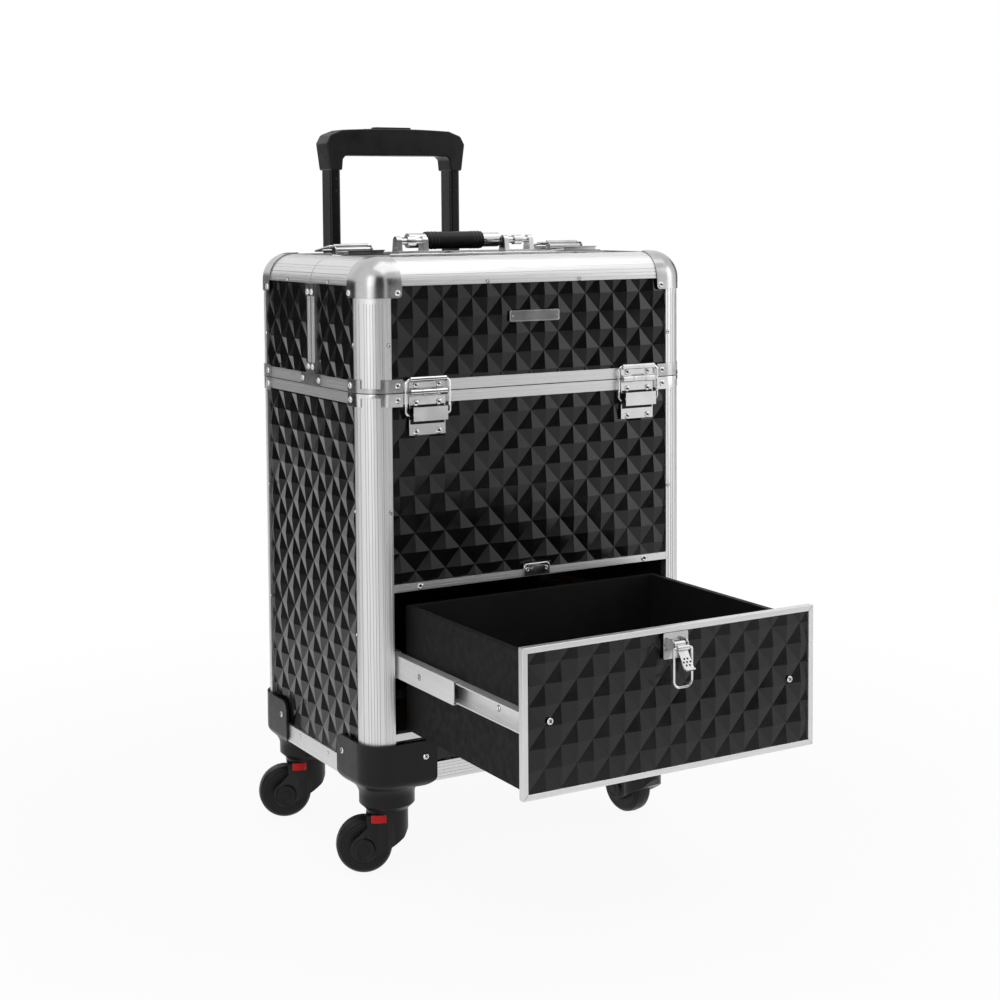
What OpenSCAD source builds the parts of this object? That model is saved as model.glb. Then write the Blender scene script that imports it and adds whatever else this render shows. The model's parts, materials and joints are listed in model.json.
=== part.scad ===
// Rolling makeup case: aluminium frame, diamond-relief panels, split top, drawer and trolley handle.
// Millimetres, +Z up, the front faces -Y, origin on the floor under the middle of the case.

/* [Case] */
// Overall width over the frame
case_w = 360; // [330:1:420]
// Overall depth over the frame
case_d = 256; // [240:1:320]
// Height of the frame's lower edge above the floor
base_z = 90; // [90:1:120]
// Height of the lower case, from the frame's lower edge to the lid seam
lower_h = 369; // [355:1:430]
// Height of the two lids above the seam
lid_h = 125; // [120:1:150]
// Plane where the two lids meet, from the middle of the case
seam_y = -8; // [-16:1:8]
// Gap along the lid seams
seam_gap = 0.8; // [0.5:0.1:1.5]

/* [Frame] */
// Outer radius of the quarter-round posts and top rails
post_r = 26; // [23:1:30]
// Depth of the frame sections behind the outer faces
frame_t = 9; // [8:0.5:11]
// Height of the rim rails on each side of the seam
rim_h = 10.4; // [9:0.2:13]
// Width of the rails where the two lids meet
seam_rail_w = 8.4; // [7:0.2:11]
// Height of the lowest rails
base_rail_h = 18; // [14:1:24]
// Height of the plain strip below the drawer
plinth_h = 25.8; // [20:0.2:40]
// Height of the rail under the drawer
sill_h = 7; // [5:0.5:10]
// Height of the drawer opening
bay_h = 132.8; // [126:0.2:140]
// Height of the rail over the drawer
header_h = 7.4; // [6:0.2:10]
// Radius of the grooves that run along the posts
groove_r = 0.5; // [0.3:0.1:0.8]
// Thickness of the sheet-metal corner clips
clip_t = 1.2; // [0.8:0.1:2]
// Height of the clips beside the seam
clip_h = 12.4; // [11:0.2:15]
// Height of a clip's band round the post
clip_band = 4; // [3:0.5:6]
// Reach of a clip or corner cap along the rails
clip_reach = 11; // [8:1:13]

/* [Panels] */
// Distance of the diamond points behind the frame's faces
panel_inset = 0.6; // [0.3:0.1:1.5]
// Height of the diamond relief
relief = 2; // [1:0.1:2.5]
// Board behind the relief
board_t = 4; // [3:0.2:5]
// Width of one diamond
diamond_w = 32.2; // [24:0.2:44]
// Height of one diamond
diamond_h = 35.8; // [26:0.2:48]
// Thickness of the loose inner boards
inner_board_t = 6; // [4:0.5:8]

/* [Hinges] */
// Distance of each hinge's middle from the case's side
hinge_in = 62; // [60:1:80]
// Width of a hinge leaf
hinge_w = 38; // [34:1:44]
// Sheet thickness of the leaves
leaf_t = 1.2; // [1:0.1:1.6]
// Distance of the hinge axis outside the frame's face
hinge_out = 3.7; // [3.6:0.1:4.2]
// Outer radius of the hinge knuckles
knuckle_r = 3.2; // [2.8:0.1:3.3]
// Radius of the hinge pins
hinge_pin_r = 1.5; // [1.2:0.1:1.8]
// Length of the middle knuckle
knuckle_len = 14; // [10:1:18]
// Length of the lower leaf below the seam
lower_leaf_len = 40; // [38:1:46]
// Height of the stay's roll above the hinge axis
roll_up = 12; // [11:0.5:12]
// Radius of the roll that holds the stay
roll_r = 2.8; // [2.4:0.1:3]
// Radius of the wire in the stays
stay_wire_r = 1.25; // [1:0.05:1.3]
// Length of a stay from its roll to its hooked ends
stay_len = 33; // [31:0.5:34]
// Width between the legs of a stay
stay_w = 46; // [44:1:52]
// Room behind the raised tunnel that the stay's ends slide in
tunnel_room = 6.1; // [6:0.1:7.5]

/* [Drawer] */
// Distance that the drawer stands open
drawer_out = 228.5; // [200:0.5:230]
// Depth of the drawer box
drawer_box_d = 227; // [200:1:230]
// Height of the drawer box
drawer_box_h = 118; // [90:1:119]
// Thickness of the drawer's boards
drawer_wall = 6; // [4:0.5:8]
// Thickness of the drawer front with its trim
drawer_front_t = 6.4; // [6:0.2:12]
// Face width of the trim round the drawer front
trim_w = 5.2; // [4.6:0.2:8]
// Gap beside and below the drawer front
drawer_gap = 0.8; // [0.5:0.1:1.2]
// Room over the drawer front
drawer_head = 3.9; // [2:0.1:6]
// Height of the middle of the slides above the sill rail
slide_up = 63.5; // [45:0.5:80]
// Height of the middle slide rail
slide_h = 21.5; // [18:0.5:28]
// Sheet thickness of the slides
slide_t = 1.2; // [1:0.1:1.5]
// Space that a slide takes between the drawer and its block
slide_space = 13.4; // [12.8:0.1:15]
// Running clearance between the slide rails
slide_clear = 0.5; // [0.3:0.1:0.8]

/* [Latches] */
// Width of a top latch
latch_w = 52; // [44:1:56]
// Width of the drawer latch
drawer_latch_w = 26; // [24:1:30]
// Distance of each top latch's middle from the case's side
latch_in = 56; // [54:1:60]
// Radius of the latch pins
latch_pin_r = 1.5; // [1.2:0.1:1.7]
// Radius of the latch wire
latch_wire_r = 1.2; // [1:0.05:1.3]
// Length of a latch bail
bail_len = 34; // [30:1:38]
// Angle at which the drawer latch's lever stands open
drawer_lever_open = 35; // [20:1:60]
// Angle at which the top latches' bails lie back
bail_droop = 8; // [0:1:9]

/* [Carry handle] */
// Distance of each handle bracket from the middle of the case
bracket_x = 62; // [56:1:72]
// Width of a handle bracket
bracket_w = 35; // [30:1:40]
// Height of the handle pins above the lid
carry_pin_up = 13; // [11:0.5:15]
// Radius of the handle pins
carry_pin_r = 3; // [2.5:0.1:3.4]
// Diameter of the handle grip
carry_grip_d = 18; // [14:0.5:19]
// Length of the black part of the grip
carry_grip_len = 66; // [50:1:80]
// Distance from the pins to the middle of the grip
carry_arm = 25; // [23:1:34]

/* [Trolley handle] */
// Distance between the middles of the two tubes
tube_gap = 146; // [120:1:180]
// Distance of the tubes' middle behind the case
tube_back = 43.5; // [40:0.5:55]
// Width of the inner tubes
tube_w = 12; // [10:0.5:16]
// Depth of the inner tubes
tube_d = 24; // [20:0.5:28]
// Wall of the tubes
tube_wall = 1.2; // [1:0.1:1.6]
// Corner radius of the inner tubes
tube_r = 3; // [2:0.5:4]
// Sliding clearance between the tubes
tube_clear = 0.3; // [0.2:0.05:0.5]
// Length of the inner and middle tubes
tube_len = 275; // [240:1:280]
// Height of the sleeves' top below the seam
sleeve_down = 87; // [80:1:110]
// Height that the inner tubes stand pulled out above the sleeves
handle_out = 291; // [200:2:320]
// Width of the grip
grip_w = 168; // [166:1:220]
// Depth of the grip
grip_d = 30; // [27:1:40]
// Height of the grip above the tubes
grip_h = 45; // [40:1:55]
// Height of the finger gap under the grip
grip_gap = 16; // [12:1:20]
// Length of the release button
button_len = 45; // [30:1:60]
// Height of the button above the grip
button_up = 2; // [1:0.5:3]
// Travel of the button
button_travel = 3; // [2:0.5:4]

/* [Casters] */
// Distance of the swivel axes from the case's side faces
swivel_in_x = 33; // [30:1:38]
// Distance of the swivel axes from the case's front and rear faces
swivel_in_y = 34; // [30:1:38]
// Wheel diameter
wheel_d = 54; // [46:1:54]
// Wheel width
wheel_w = 22; // [18:1:26]
// Distance of the wheel axle from the swivel axis
trail = 22; // [18:1:24]
// Radius of the wheel axles
axle_r = 3; // [2.5:0.5:4]
// Radius of the swivel stems
stem_r = 5; // [4:0.5:7]
// Thickness of the fork arms
fork_arm_t = 6; // [5:0.5:8]
// Reach of a corner boot along the case
boot_reach = 68; // [60:1:76]
// Thickness of the boot walls
boot_t = 3; // [2:0.5:4]
// Height of the boot walls above the frame's lower edge
boot_up = 41; // [36:1:44]
// Radius of the boot's neck
boot_neck_r = 26.5; // [24:0.5:28]

/* [Trays] */
// Height of the lower tray
tray_low_h = 29; // [24:1:31]
// Height of the upper tray
tray_high_h = 40; // [30:1:41]
// Depth of the trays
tray_d = 92; // [70:1:94]
// Wall of the trays
tray_wall = 2; // [1.5:0.1:3]
// Radius of the tray pins
tray_pin_r = 2; // [1.5:0.1:2.5]
// Step of the tray pivots along and up from the front hinge axis
tray_step = 32; // [32:0.5:33]

/* [Hidden] */
$fn = 48;

// Colours
aluminium = [0.80, 0.80, 0.81];
chrome = [0.72, 0.72, 0.74];
black_panel = [0.08, 0.08, 0.08];
black_plastic = [0.05, 0.05, 0.05];
grey_steel = [0.45, 0.45, 0.46];
brown_board = [0.36, 0.26, 0.18];

// Main planes
face_x = case_w / 2;
face_y = case_d / 2;
seam_z = base_z + lower_h;
top_z = seam_z + lid_h;
lid_z = seam_z + seam_gap;
open_x = face_x - post_r;
open_y = face_y - post_r;
panel_t = relief + board_t;
panel_back = panel_inset + panel_t;
rim_low_z = seam_z - rim_h;
rim_high_z = lid_z + rim_h;
lid_shoulder_z = top_z - post_r;
sill_z = base_z + base_rail_h + plinth_h;
bay_z = sill_z + sill_h;
header_z = bay_z + bay_h;
front_panel_z = header_z + header_h;
front_seam_y = seam_y - seam_gap / 2;
rear_seam_y = seam_y + seam_gap / 2;
touch = 0.02;
split = 0.05;
clip_seat = 0.2;

// Rivets
rivet_r = 2.2;
rivet_h = 1.1;

// Hinges, measured from the axis on the frame's face
hinge_x = face_x - hinge_in;
hinge_z = seam_z + seam_gap / 2;
hinge_gap = 0.6;
pin_clear = 0.08;
roll_out = roll_r;
tunnel_w = hinge_w - 2;
tunnel_top = stay_len - roll_up - stay_wire_r - 1.2;
tunnel_low = lower_leaf_len - 7;
stay_hook = 11;
leaf_rivet_x = hinge_w / 2 - 7;

// Drawer, in its closed place
drawer_w = 2 * (open_x - drawer_gap);
drawer_h = bay_h - drawer_gap - drawer_head;
drawer_low_z = bay_z + drawer_gap;
drawer_front_y = -face_y;
drawer_back_y = drawer_front_y + drawer_front_t;
slide_wall_x = open_x - 0.6;
drawer_box_x = slide_wall_x - slide_space;
drawer_box_z = drawer_low_z + 0.6;
drawer_mid_z = drawer_low_z + drawer_h / 2;
slide_z = bay_z + slide_up;
drawer_screw_in = 26.7;
drawer_screw_up = -0.5;
drawer_screw_r = 1;
drawer_latch_down = 15;
drawer_screw_x = drawer_w / 2 - drawer_screw_in;

// Latches, measured from the base plate: y towards the strike, z away from the plate
latch_pin_up = 5.2;
latch_plate_t = 1.2;
latch_hub_r = 2.9;
bail_seat = [-5, 3.8];
bail_seat_r = 2.2;
latch_edge = 6.6;
lever_len = 24;
top_plane_z = top_z - panel_inset;
latch_x = face_x - latch_in;
latch_y = seam_y + 22;
drawer_latch_z = drawer_low_z + drawer_h - drawer_latch_down;

// Carry handle
bracket_y = rear_seam_y + seam_rail_w + 8;
bracket_d = 14;
ear_t = 5.5;
ear_r = 5;
carry_pin_z = top_plane_z + carry_pin_up;
carry_collar = 20;
eye_w = 9;
eye_r = carry_pin_r + 2;

// Trolley handle
tube_y = face_y + tube_back;
middle_w = tube_w + 2 * (tube_clear + tube_wall);
middle_d = tube_d + 2 * (tube_clear + tube_wall);
sleeve_w = middle_w + 2 * (tube_clear + tube_wall);
sleeve_d = middle_d + 2 * (tube_clear + tube_wall);
sleeve_top_z = seam_z - sleeve_down;
tube_stop = 8;
sleeve_low_z = sleeve_top_z + tube_stop - tube_len - 6;
inner_top_z = sleeve_top_z + tube_stop + handle_out;
middle_top_z = sleeve_top_z + tube_stop / 2 + handle_out / 2;
mount_h = 30;
mount_pad = 8;
grip_top_z = inner_top_z + grip_h;
grip_under_z = inner_top_z + grip_gap;
button_w = 13;
button_h = 8;

// Casters
swivel_x = face_x - swivel_in_x;
swivel_y = face_y - swivel_in_y;
axle_z = wheel_d / 2;
neck_len = 27.6;
fork_top_z = base_z - neck_len;
boot_low_z = fork_top_z + 0.4;
wheel_clear = 1;
fork_half = wheel_w / 2 + wheel_clear + fork_arm_t;
stem_len = 18;
boot_round = 9;
neck_round = 5;
neck_flare = 11;
boot_screw_in = 56;
boot_screw_up = 26;

// Trays, hung on the front lid and steadied by the arms on the lower case
hinge_axis_y = -face_y - hinge_out;
tray_half = face_x - frame_t - 13;
tray_arm_t = 2.5;
tray_arm_w = 9;
tray_arm_gap = 1.5;
tray_arm_x = tray_half + tray_arm_gap;
tray_arm_dy = 35;
tray_arm_dz = -4.5;
tray_front = 9;
tray_drop = 12;
tray_pivot = [for (k = [1, 2]) [hinge_axis_y + k * tray_step, hinge_z + k * tray_step]];
tray_base_y = hinge_axis_y + tray_arm_dy;
tray_base_z = hinge_z + tray_arm_dz;
tray_low_z = tray_pivot[0][1] - tray_drop;
tray_high_z = tray_low_z + tray_low_h + 4.5;
tray_front_y = tray_pivot[0][0] - tray_front;

// Helpers

module both_sides() {
    children();
    mirror([1, 0, 0]) children();
}

module front_and_rear() {
    children();
    mirror([0, 1, 0]) children();
}

module four_corners() {
    both_sides() front_and_rear() children();
}

// Box between two opposite corners
module block(low, high) {
    translate(low) cube(high - low);
}

// Quarter ring in the quadrant where x and y are negative, centred on the origin
module quarter(r, t) {
    intersection() {
        difference() {
            circle(r);
            circle(r - t);
        }
        translate([-r, -r]) square(r);
    }
}

// The post section: a quarter ring with fine grooves along its face
module post_section() {
    difference() {
        quarter(post_r, frame_t);
        for (a = [186, 194, 202, 248, 256, 264])
            rotate(a) translate([post_r, 0]) circle(groove_r, $fn = 16);
    }
}

module rounded_rectangle(w, d, r) {
    square([w - 2 * r, d], center = true);
    square([w, d - 2 * r], center = true);
    for (x = [-1, 1], y = [-1, 1])
        translate([x * (w / 2 - r), y * (d / 2 - r)]) circle(r);
}

module rivet() {
    ball_r = (rivet_r * rivet_r + rivet_h * rivet_h) / (2 * rivet_h);
    intersection() {
        translate([0, 0, rivet_h - ball_r]) sphere(ball_r);
        cylinder(r = rivet_r, h = rivet_h);
    }
}

module on_front() {
    rotate([90, 0, 0]) children();
}

module on_left() {
    rotate([90, 0, -90]) children();
}

// Board with diamond pyramids on its upper face: w along x, h along y, its back at z = 0
module diamond_board(w, h, board) {
    nx = max(2, round(2 * w / diamond_w));
    ny = max(2, round(2 * h / diamond_h));
    function at(i, j) = j * (nx + 1) + i;
    last = (nx + 1) * (ny + 1);
    points = [
        for (j = [0:ny], i = [0:nx])
            [w * (i / nx - 0.5), h * (j / ny - 0.5), board + ((i + j) % 2) * relief],
        [-w / 2, -h / 2, 0], [w / 2, -h / 2, 0], [w / 2, h / 2, 0], [-w / 2, h / 2, 0]
    ];
    even = [for (j = [0:ny - 1], i = [0:nx - 1]) if ((i + j) % 2 == 0)
        each [[at(i, j), at(i + 1, j + 1), at(i + 1, j)], [at(i, j), at(i, j + 1), at(i + 1, j + 1)]]];
    odd = [for (j = [0:ny - 1], i = [0:nx - 1]) if ((i + j) % 2 == 1)
        each [[at(i, j), at(i, j + 1), at(i + 1, j)], [at(i + 1, j), at(i, j + 1), at(i + 1, j + 1)]]];
    sides = [
        [last, for (i = [0:nx]) at(i, 0), last + 1],
        [last + 1, for (j = [0:ny]) at(nx, j), last + 2],
        [last + 2, for (i = [nx:-1:0]) at(i, ny), last + 3],
        [last + 3, for (j = [ny:-1:0]) at(0, j), last],
        [last, last + 1, last + 2, last + 3]
    ];
    polyhedron(points, concat(even, odd, sides), convexity = 4);
}

// Diamond board on the front face between two corners, given as [x, z]
module front_board(low, high) {
    size = high - low;
    middle = (low + high) / 2;
    translate([middle[0], -face_y + panel_back, middle[1]])
        on_front() diamond_board(size[0], size[1], board_t);
}

// Diamond board on the left face between two corners, given as [y, z]
module left_board(low, high) {
    size = high - low;
    middle = (low + high) / 2;
    translate([-face_x + panel_back, middle[0], middle[1]])
        on_left() diamond_board(size[0], size[1], board_t);
}

// Board inside the frame, notched round the corner posts
module notched_board(low_z, half_x, rear_y) {
    front_y = -face_y + frame_t;
    block([-open_x, front_y, low_z], [open_x, rear_y, low_z + inner_board_t]);
    block([-half_x, -open_y, low_z], [half_x, open_y, low_z + inner_board_t]);
}

// Clip round the front-left corner: a low band round the post from seam_edge, and two tall wings
module corner_clip(seam_edge, up) {
    outer = post_r + clip_t;
    sheet = clip_t - clip_seat;
    wing = 24;
    translate([-open_x, -open_y, seam_edge]) mirror([0, 0, up > 0 ? 0 : 1]) {
        linear_extrude(clip_band) quarter(outer, sheet);
        linear_extrude(clip_h) {
            translate([0, -outer]) square([clip_reach, sheet]);
            translate([-outer, 0]) square([sheet, clip_reach]);
            intersection() {
                quarter(outer, sheet);
                union() {
                    polygon([[0, 0], [-2 * outer * sin(wing), -2 * outer * cos(wing)], [0, -2 * outer]]);
                    polygon([[0, 0], [-2 * outer * cos(wing), -2 * outer * sin(wing)], [-2 * outer, 0]]);
                }
            }
        }
    }
}

// Lower case

module lower_posts() {
    color(aluminium) four_corners()
        translate([-open_x, -open_y, base_z]) linear_extrude(lower_h) post_section();
}

module lower_rails() {
    color(aluminium) {
        front_and_rear() {
            block([-open_x, -face_y, rim_low_z], [open_x, -face_y + frame_t, seam_z]);
            block([-open_x, -face_y, base_z], [open_x, -face_y + frame_t, base_z + base_rail_h]);
        }
        both_sides() {
            block([-face_x, -open_y, rim_low_z], [-face_x + frame_t, open_y, seam_z]);
            block([-face_x, -open_y, base_z], [-face_x + frame_t, open_y, base_z + base_rail_h]);
            tray_stud();
        }
    }
}

// Stud on the side rim rail that carries the foot of a tray arm
module tray_stud() {
    translate([-face_x + frame_t - touch, tray_base_y, tray_base_z]) rotate([0, 90, 0])
        cylinder(r = tray_pin_r, h = face_x - frame_t - tray_half - 1 + touch);
}

module bay_rails() {
    color(aluminium) {
        block([-open_x, -face_y, sill_z], [open_x, -face_y + frame_t, bay_z]);
        block([-open_x, -face_y, header_z], [open_x, -face_y + frame_t, front_panel_z]);
    }
}

module side_panels() {
    color(black_panel) both_sides()
        left_board([-open_y, base_z + base_rail_h], [open_y, rim_low_z]);
}

module rear_panel() {
    color(black_panel) mirror([0, 1, 0])
        front_board([-open_x, base_z + base_rail_h], [open_x, rim_low_z]);
}

module front_panel() {
    color(black_panel) {
        front_board([-open_x, front_panel_z], [open_x, rim_low_z]);
        front_board([-open_x, base_z + base_rail_h], [open_x, sill_z]);
    }
}

module inner_boards() {
    color(brown_board) {
        notched_board(base_z + 2, face_x - frame_t, face_y - frame_t);
        notched_board(front_panel_z - inner_board_t, face_x - panel_back, face_y - panel_back);
        both_sides()
            block([-face_x + panel_back, -open_y, slide_z - slide_h],
                  [-slide_wall_x, open_y, slide_z + slide_h]);
    }
}

module lower_clips() {
    color(chrome) four_corners() corner_clip(seam_z, -1);
}

// Plastic corner boot with the socket for a caster stem
module boot() {
    corner = post_r + boot_t;
    low_z = base_z - boot_t;
    wall_h = boot_up + boot_t;
    long = boot_reach - post_r;
    through = long + corner + 2;
    flare = neck_flare;
    difference() {
        union() {
            intersection() {
                translate([-open_x, -open_y, low_z]) linear_extrude(wall_h) boot_plan(corner, long);
                translate([-open_x, -open_y + long + 1, low_z]) on_front()
                    linear_extrude(through) boot_face(corner, long, wall_h);
                translate([-open_x + long + 1, -open_y, low_z]) on_left()
                    linear_extrude(through) mirror([1, 0]) boot_face(corner, long, wall_h);
            }
            translate([-swivel_x, -swivel_y, boot_low_z]) {
                cylinder(r1 = boot_neck_r - neck_round, r2 = boot_neck_r, h = neck_round);
                translate([0, 0, neck_round]) cylinder(r = boot_neck_r, h = low_z - boot_low_z);
            }
            intersection() {
                translate([-swivel_x, -swivel_y, low_z - flare]) rotate_extrude() difference() {
                    square([boot_neck_r + flare, flare + touch]);
                    translate([boot_neck_r + flare, 0]) circle(flare);
                }
                translate([-open_x, -open_y, low_z - flare]) linear_extrude(flare + 1)
                    boot_plan(corner, long - boot_round);
            }
        }
        translate([-open_x, -open_y, base_z]) linear_extrude(wall_h) boot_plan(post_r + split, long + 1);
        translate([-swivel_x, -swivel_y, boot_low_z - 1])
            cylinder(r = stem_r + pin_clear, h = stem_len + 2);
    }
}

// Plan of a boot: a rounded corner of radius r and two sides of the given reach
module boot_plan(r, reach) {
    quarter(r, r - touch);
    translate([-r, 0]) square([r + reach, reach]);
    translate([0, -r]) square([reach, r]);
}

// Outline of a boot on one face, from beyond the corner to its rounded free end
module boot_face(corner, long, height) {
    start = -corner - 1;
    translate([start, 0]) square([long - boot_round - start, height]);
    translate([start, boot_round]) square([long - start, height - 2 * boot_round]);
    for (z = [boot_round, height - boot_round])
        translate([long - boot_round, z]) circle(boot_round);
}

module boots() {
    color(black_plastic) four_corners() boot();
}

// C-shaped rail on the left side: web at x = web_x, flanges towards +x for a positive depth
module slide_rail(web_x, depth, height, length) {
    step = sign(depth);
    low = height / 2;
    translate([web_x, 0, 0]) rotate([90, 0, 0]) mirror([step < 0 ? 1 : 0, 0, 0])
        translate([0, 0, -length]) linear_extrude(length) {
            translate([0, -low]) square([slide_t, height]);
            translate([0, -low]) square([abs(depth), slide_t]);
            translate([0, low - slide_t]) square([abs(depth), slide_t]);
        }
}

slide_inner_h = slide_h - 2 * (slide_t + slide_clear);
slide_outer_h = slide_h + 2 * (slide_t + slide_clear);
slide_middle_x = slide_wall_x - slide_t - slide_clear;

module slide_channels() {
    color(grey_steel) both_sides()
        translate([0, drawer_back_y, slide_z])
            slide_rail(-slide_wall_x, slide_space - 4, slide_outer_h, drawer_box_d);
}

module slide_middle_rails() {
    color(grey_steel) both_sides()
        translate([0, drawer_back_y - drawer_out / 2, slide_z])
            slide_rail(-slide_middle_x, slide_space - 4.5, slide_h, drawer_box_d);
}

module drawer_rails() {
    color(grey_steel) both_sides()
        translate([0, drawer_back_y - drawer_out, slide_z])
            slide_rail(-drawer_box_x, -(slide_space - 4), slide_inner_h, drawer_box_d);
}

// Hook on the header rail that the drawer latch's bail catches
module drawer_catch() {
    color(chrome) translate([0, -face_y, header_z]) {
        block([-15, -leaf_t, 1], [15, 0, 13]);
        block([-7, -4.5, 6], [7, -leaf_t, 7.5]);
        block([-7, -5.7, 6], [7, -4.5, 11]);
    }
}

// Lower leaf of a stop hinge, with its knuckle, pin and raised tunnel; the axis is at z = 0
module lower_leaf() {
    half = hinge_w / 2;
    drop = knuckle_r + hinge_gap;
    tunnel_y = -leaf_t - tunnel_room;
    block([-half, -leaf_t, -lower_leaf_len], [half, 0, -drop]);
    block([-knuckle_len / 2, -hinge_out, -drop], [knuckle_len / 2, 0, 0]);
    translate([-knuckle_len / 2, -hinge_out, 0]) rotate([0, 90, 0]) cylinder(r = knuckle_r, h = knuckle_len);
    translate([-half, -hinge_out, 0]) rotate([0, 90, 0]) cylinder(r = hinge_pin_r, h = hinge_w);
    block([-tunnel_w / 2, tunnel_y - leaf_t, -tunnel_low - leaf_t],
          [tunnel_w / 2, tunnel_y, -tunnel_top + leaf_t]);
    block([-tunnel_w / 2, tunnel_y, -tunnel_top], [tunnel_w / 2, -leaf_t, -tunnel_top + leaf_t]);
    block([-tunnel_w / 2, tunnel_y, -tunnel_low - leaf_t], [tunnel_w / 2, -leaf_t, -tunnel_low]);
}

// Upper leaf of a stop hinge, with the roll that carries the stay
module upper_leaf() {
    half = hinge_w / 2;
    rise = knuckle_r + hinge_gap;
    side_len = (hinge_w - knuckle_len) / 2 - 0.4;
    difference() {
        union() {
            block([-half, -leaf_t, rise], [half, 0, roll_up]);
            translate([-half, -roll_out, roll_up]) rotate([0, 90, 0]) cylinder(r = roll_r, h = hinge_w);
            for (x = [-half, half - side_len]) {
                translate([x, -hinge_out, 0]) rotate([0, 90, 0]) cylinder(r = knuckle_r, h = side_len);
                block([x, -hinge_out, 0], [x + side_len, 0, rise]);
            }
        }
        translate([-hinge_w, -hinge_out, 0]) rotate([0, 90, 0])
            cylinder(r = hinge_pin_r + pin_clear, h = 2 * hinge_w);
        translate([-hinge_w, -roll_out, roll_up]) rotate([0, 90, 0])
            cylinder(r = stay_wire_r + pin_clear, h = 2 * hinge_w);
    }
}

// Wire stay: a bar through the roll, two legs and two hooked ends
module stay() {
    half = stay_w / 2;
    translate([0, -roll_out, roll_up]) {
        translate([-half, 0, 0]) rotate([0, 90, 0]) cylinder(r = stay_wire_r, h = stay_w);
        both_sides() {
            translate([-half, 0, -stay_len]) cylinder(r = stay_wire_r, h = stay_len);
            translate([-half, 0, 0]) sphere(stay_wire_r);
            translate([-half, 0, -stay_len]) sphere(stay_wire_r);
            translate([-half, 0, -stay_len]) rotate([0, 90, 0]) cylinder(r = stay_wire_r, h = stay_hook);
        }
    }
}

module at_hinges(z) {
    for (x = [-hinge_x, hinge_x])
        translate([x, -face_y, z]) children();
}

module lower_hinge_leaves() {
    color(chrome) front_and_rear() at_hinges(hinge_z) lower_leaf();
}

// Rivets of the lower hinge leaves, clips and header, and the boot screws
module case_rivets() {
    color(chrome) {
        front_and_rear() {
            at_hinges(hinge_z)
                for (x = [-leaf_rivet_x, leaf_rivet_x], z = [-lower_leaf_len + 3, -10])
                    translate([x, -leaf_t, z]) on_front() rivet();
            both_sides() {
                translate([-open_x + clip_reach / 2, -face_y - clip_t, seam_z - clip_h / 2])
                    on_front() rivet();
                translate([-face_x - clip_t, -open_y + clip_reach / 2, seam_z - clip_h / 2])
                    on_left() rivet();
                translate([-face_x + boot_screw_in, -face_y - boot_t, base_z + boot_screw_up])
                    on_front() rivet();
                translate([-face_x - boot_t, -face_y + boot_screw_in, base_z + boot_screw_up])
                    on_left() rivet();
            }
        }
        both_sides()
            translate([-drawer_screw_x, -face_y, header_z + header_h / 2]) on_front() rivet();
    }
}

// Front and rear lids; the rear one is the mirror image of a front lid with its own seam plane

module lid_panels(seam) {
    edge = seam - seam_rail_w;
    front_board([-open_x, rim_high_z], [open_x, lid_shoulder_z]);
    both_sides() left_board([-open_y, rim_high_z], [edge, lid_shoulder_z]);
    translate([0, (edge - open_y) / 2, top_z - panel_back])
        diamond_board(2 * open_x, edge + open_y, board_t);
}

module lid_frame(seam) {
    edge = seam - seam_rail_w;
    across = open_x - split;
    block([-across, -face_y, lid_z], [across, -face_y + frame_t, rim_high_z]);
    block([-across, edge, top_z - frame_t], [across, seam, top_z]);
    translate([-across, -open_y, lid_shoulder_z]) rotate([0, 90, 0])
        linear_extrude(2 * across) post_section();
    both_sides() {
        translate([-open_x, -open_y, lid_z]) linear_extrude(lid_shoulder_z - lid_z - split) post_section();
        block([-face_x, -open_y + split, lid_z], [-face_x + frame_t, seam, rim_high_z]);
        block([-face_x, edge, rim_high_z + split], [-face_x + frame_t, seam, lid_shoulder_z - split]);
        translate([-open_x, seam, lid_shoulder_z]) rotate([90, 0, 0])
            linear_extrude(seam + open_y - split) mirror([0, 1, 0]) post_section();
    }
}

// Ball corner over the meeting of a post and two top rails, on the left
module ball_corner() {
    outer = post_r + clip_t;
    sheet = clip_t - clip_seat;
    translate([-open_x, -open_y, lid_shoulder_z]) {
        intersection() {
            difference() {
                sphere(outer);
                sphere(post_r - frame_t);
            }
            block([-outer, -outer, 0], [0, 0, outer]);
        }
        translate([0, 0, -clip_reach]) linear_extrude(clip_reach) quarter(outer, sheet);
        rotate([0, 90, 0]) linear_extrude(clip_reach) quarter(outer, sheet);
        translate([0, clip_reach, 0]) rotate([90, 0, 0]) linear_extrude(clip_reach)
            mirror([0, 1, 0]) quarter(outer, sheet);
        translate([0, -post_r - clip_seat, -clip_reach]) on_front() linear_extrude(sheet) corner_ear();
        translate([-post_r - clip_seat, 0, -clip_reach]) on_left() linear_extrude(sheet)
            mirror([1, 0]) corner_ear();
    }
}

// Rounded ear that fills the inner corner of a ball corner
module corner_ear() {
    square([clip_reach - 4, clip_reach]);
    translate([0, 4]) square([clip_reach, clip_reach - 4]);
    translate([clip_reach - 4, 4]) circle(4);
}

seam_clip_len = 22;

module lid_corners(seam) {
    both_sides() {
        ball_corner();
        corner_clip(lid_z, 1);
        block([-face_x - clip_t, seam - seam_clip_len, lid_z], [-face_x, seam, rim_high_z]);
        block([-face_x - clip_t, seam - seam_rail_w, rim_high_z], [-face_x, seam, rim_high_z + clip_reach]);
        block([-face_x - clip_t, seam - seam_rail_w, lid_shoulder_z - clip_h],
              [-face_x, seam, lid_shoulder_z]);
    }
}

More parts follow.
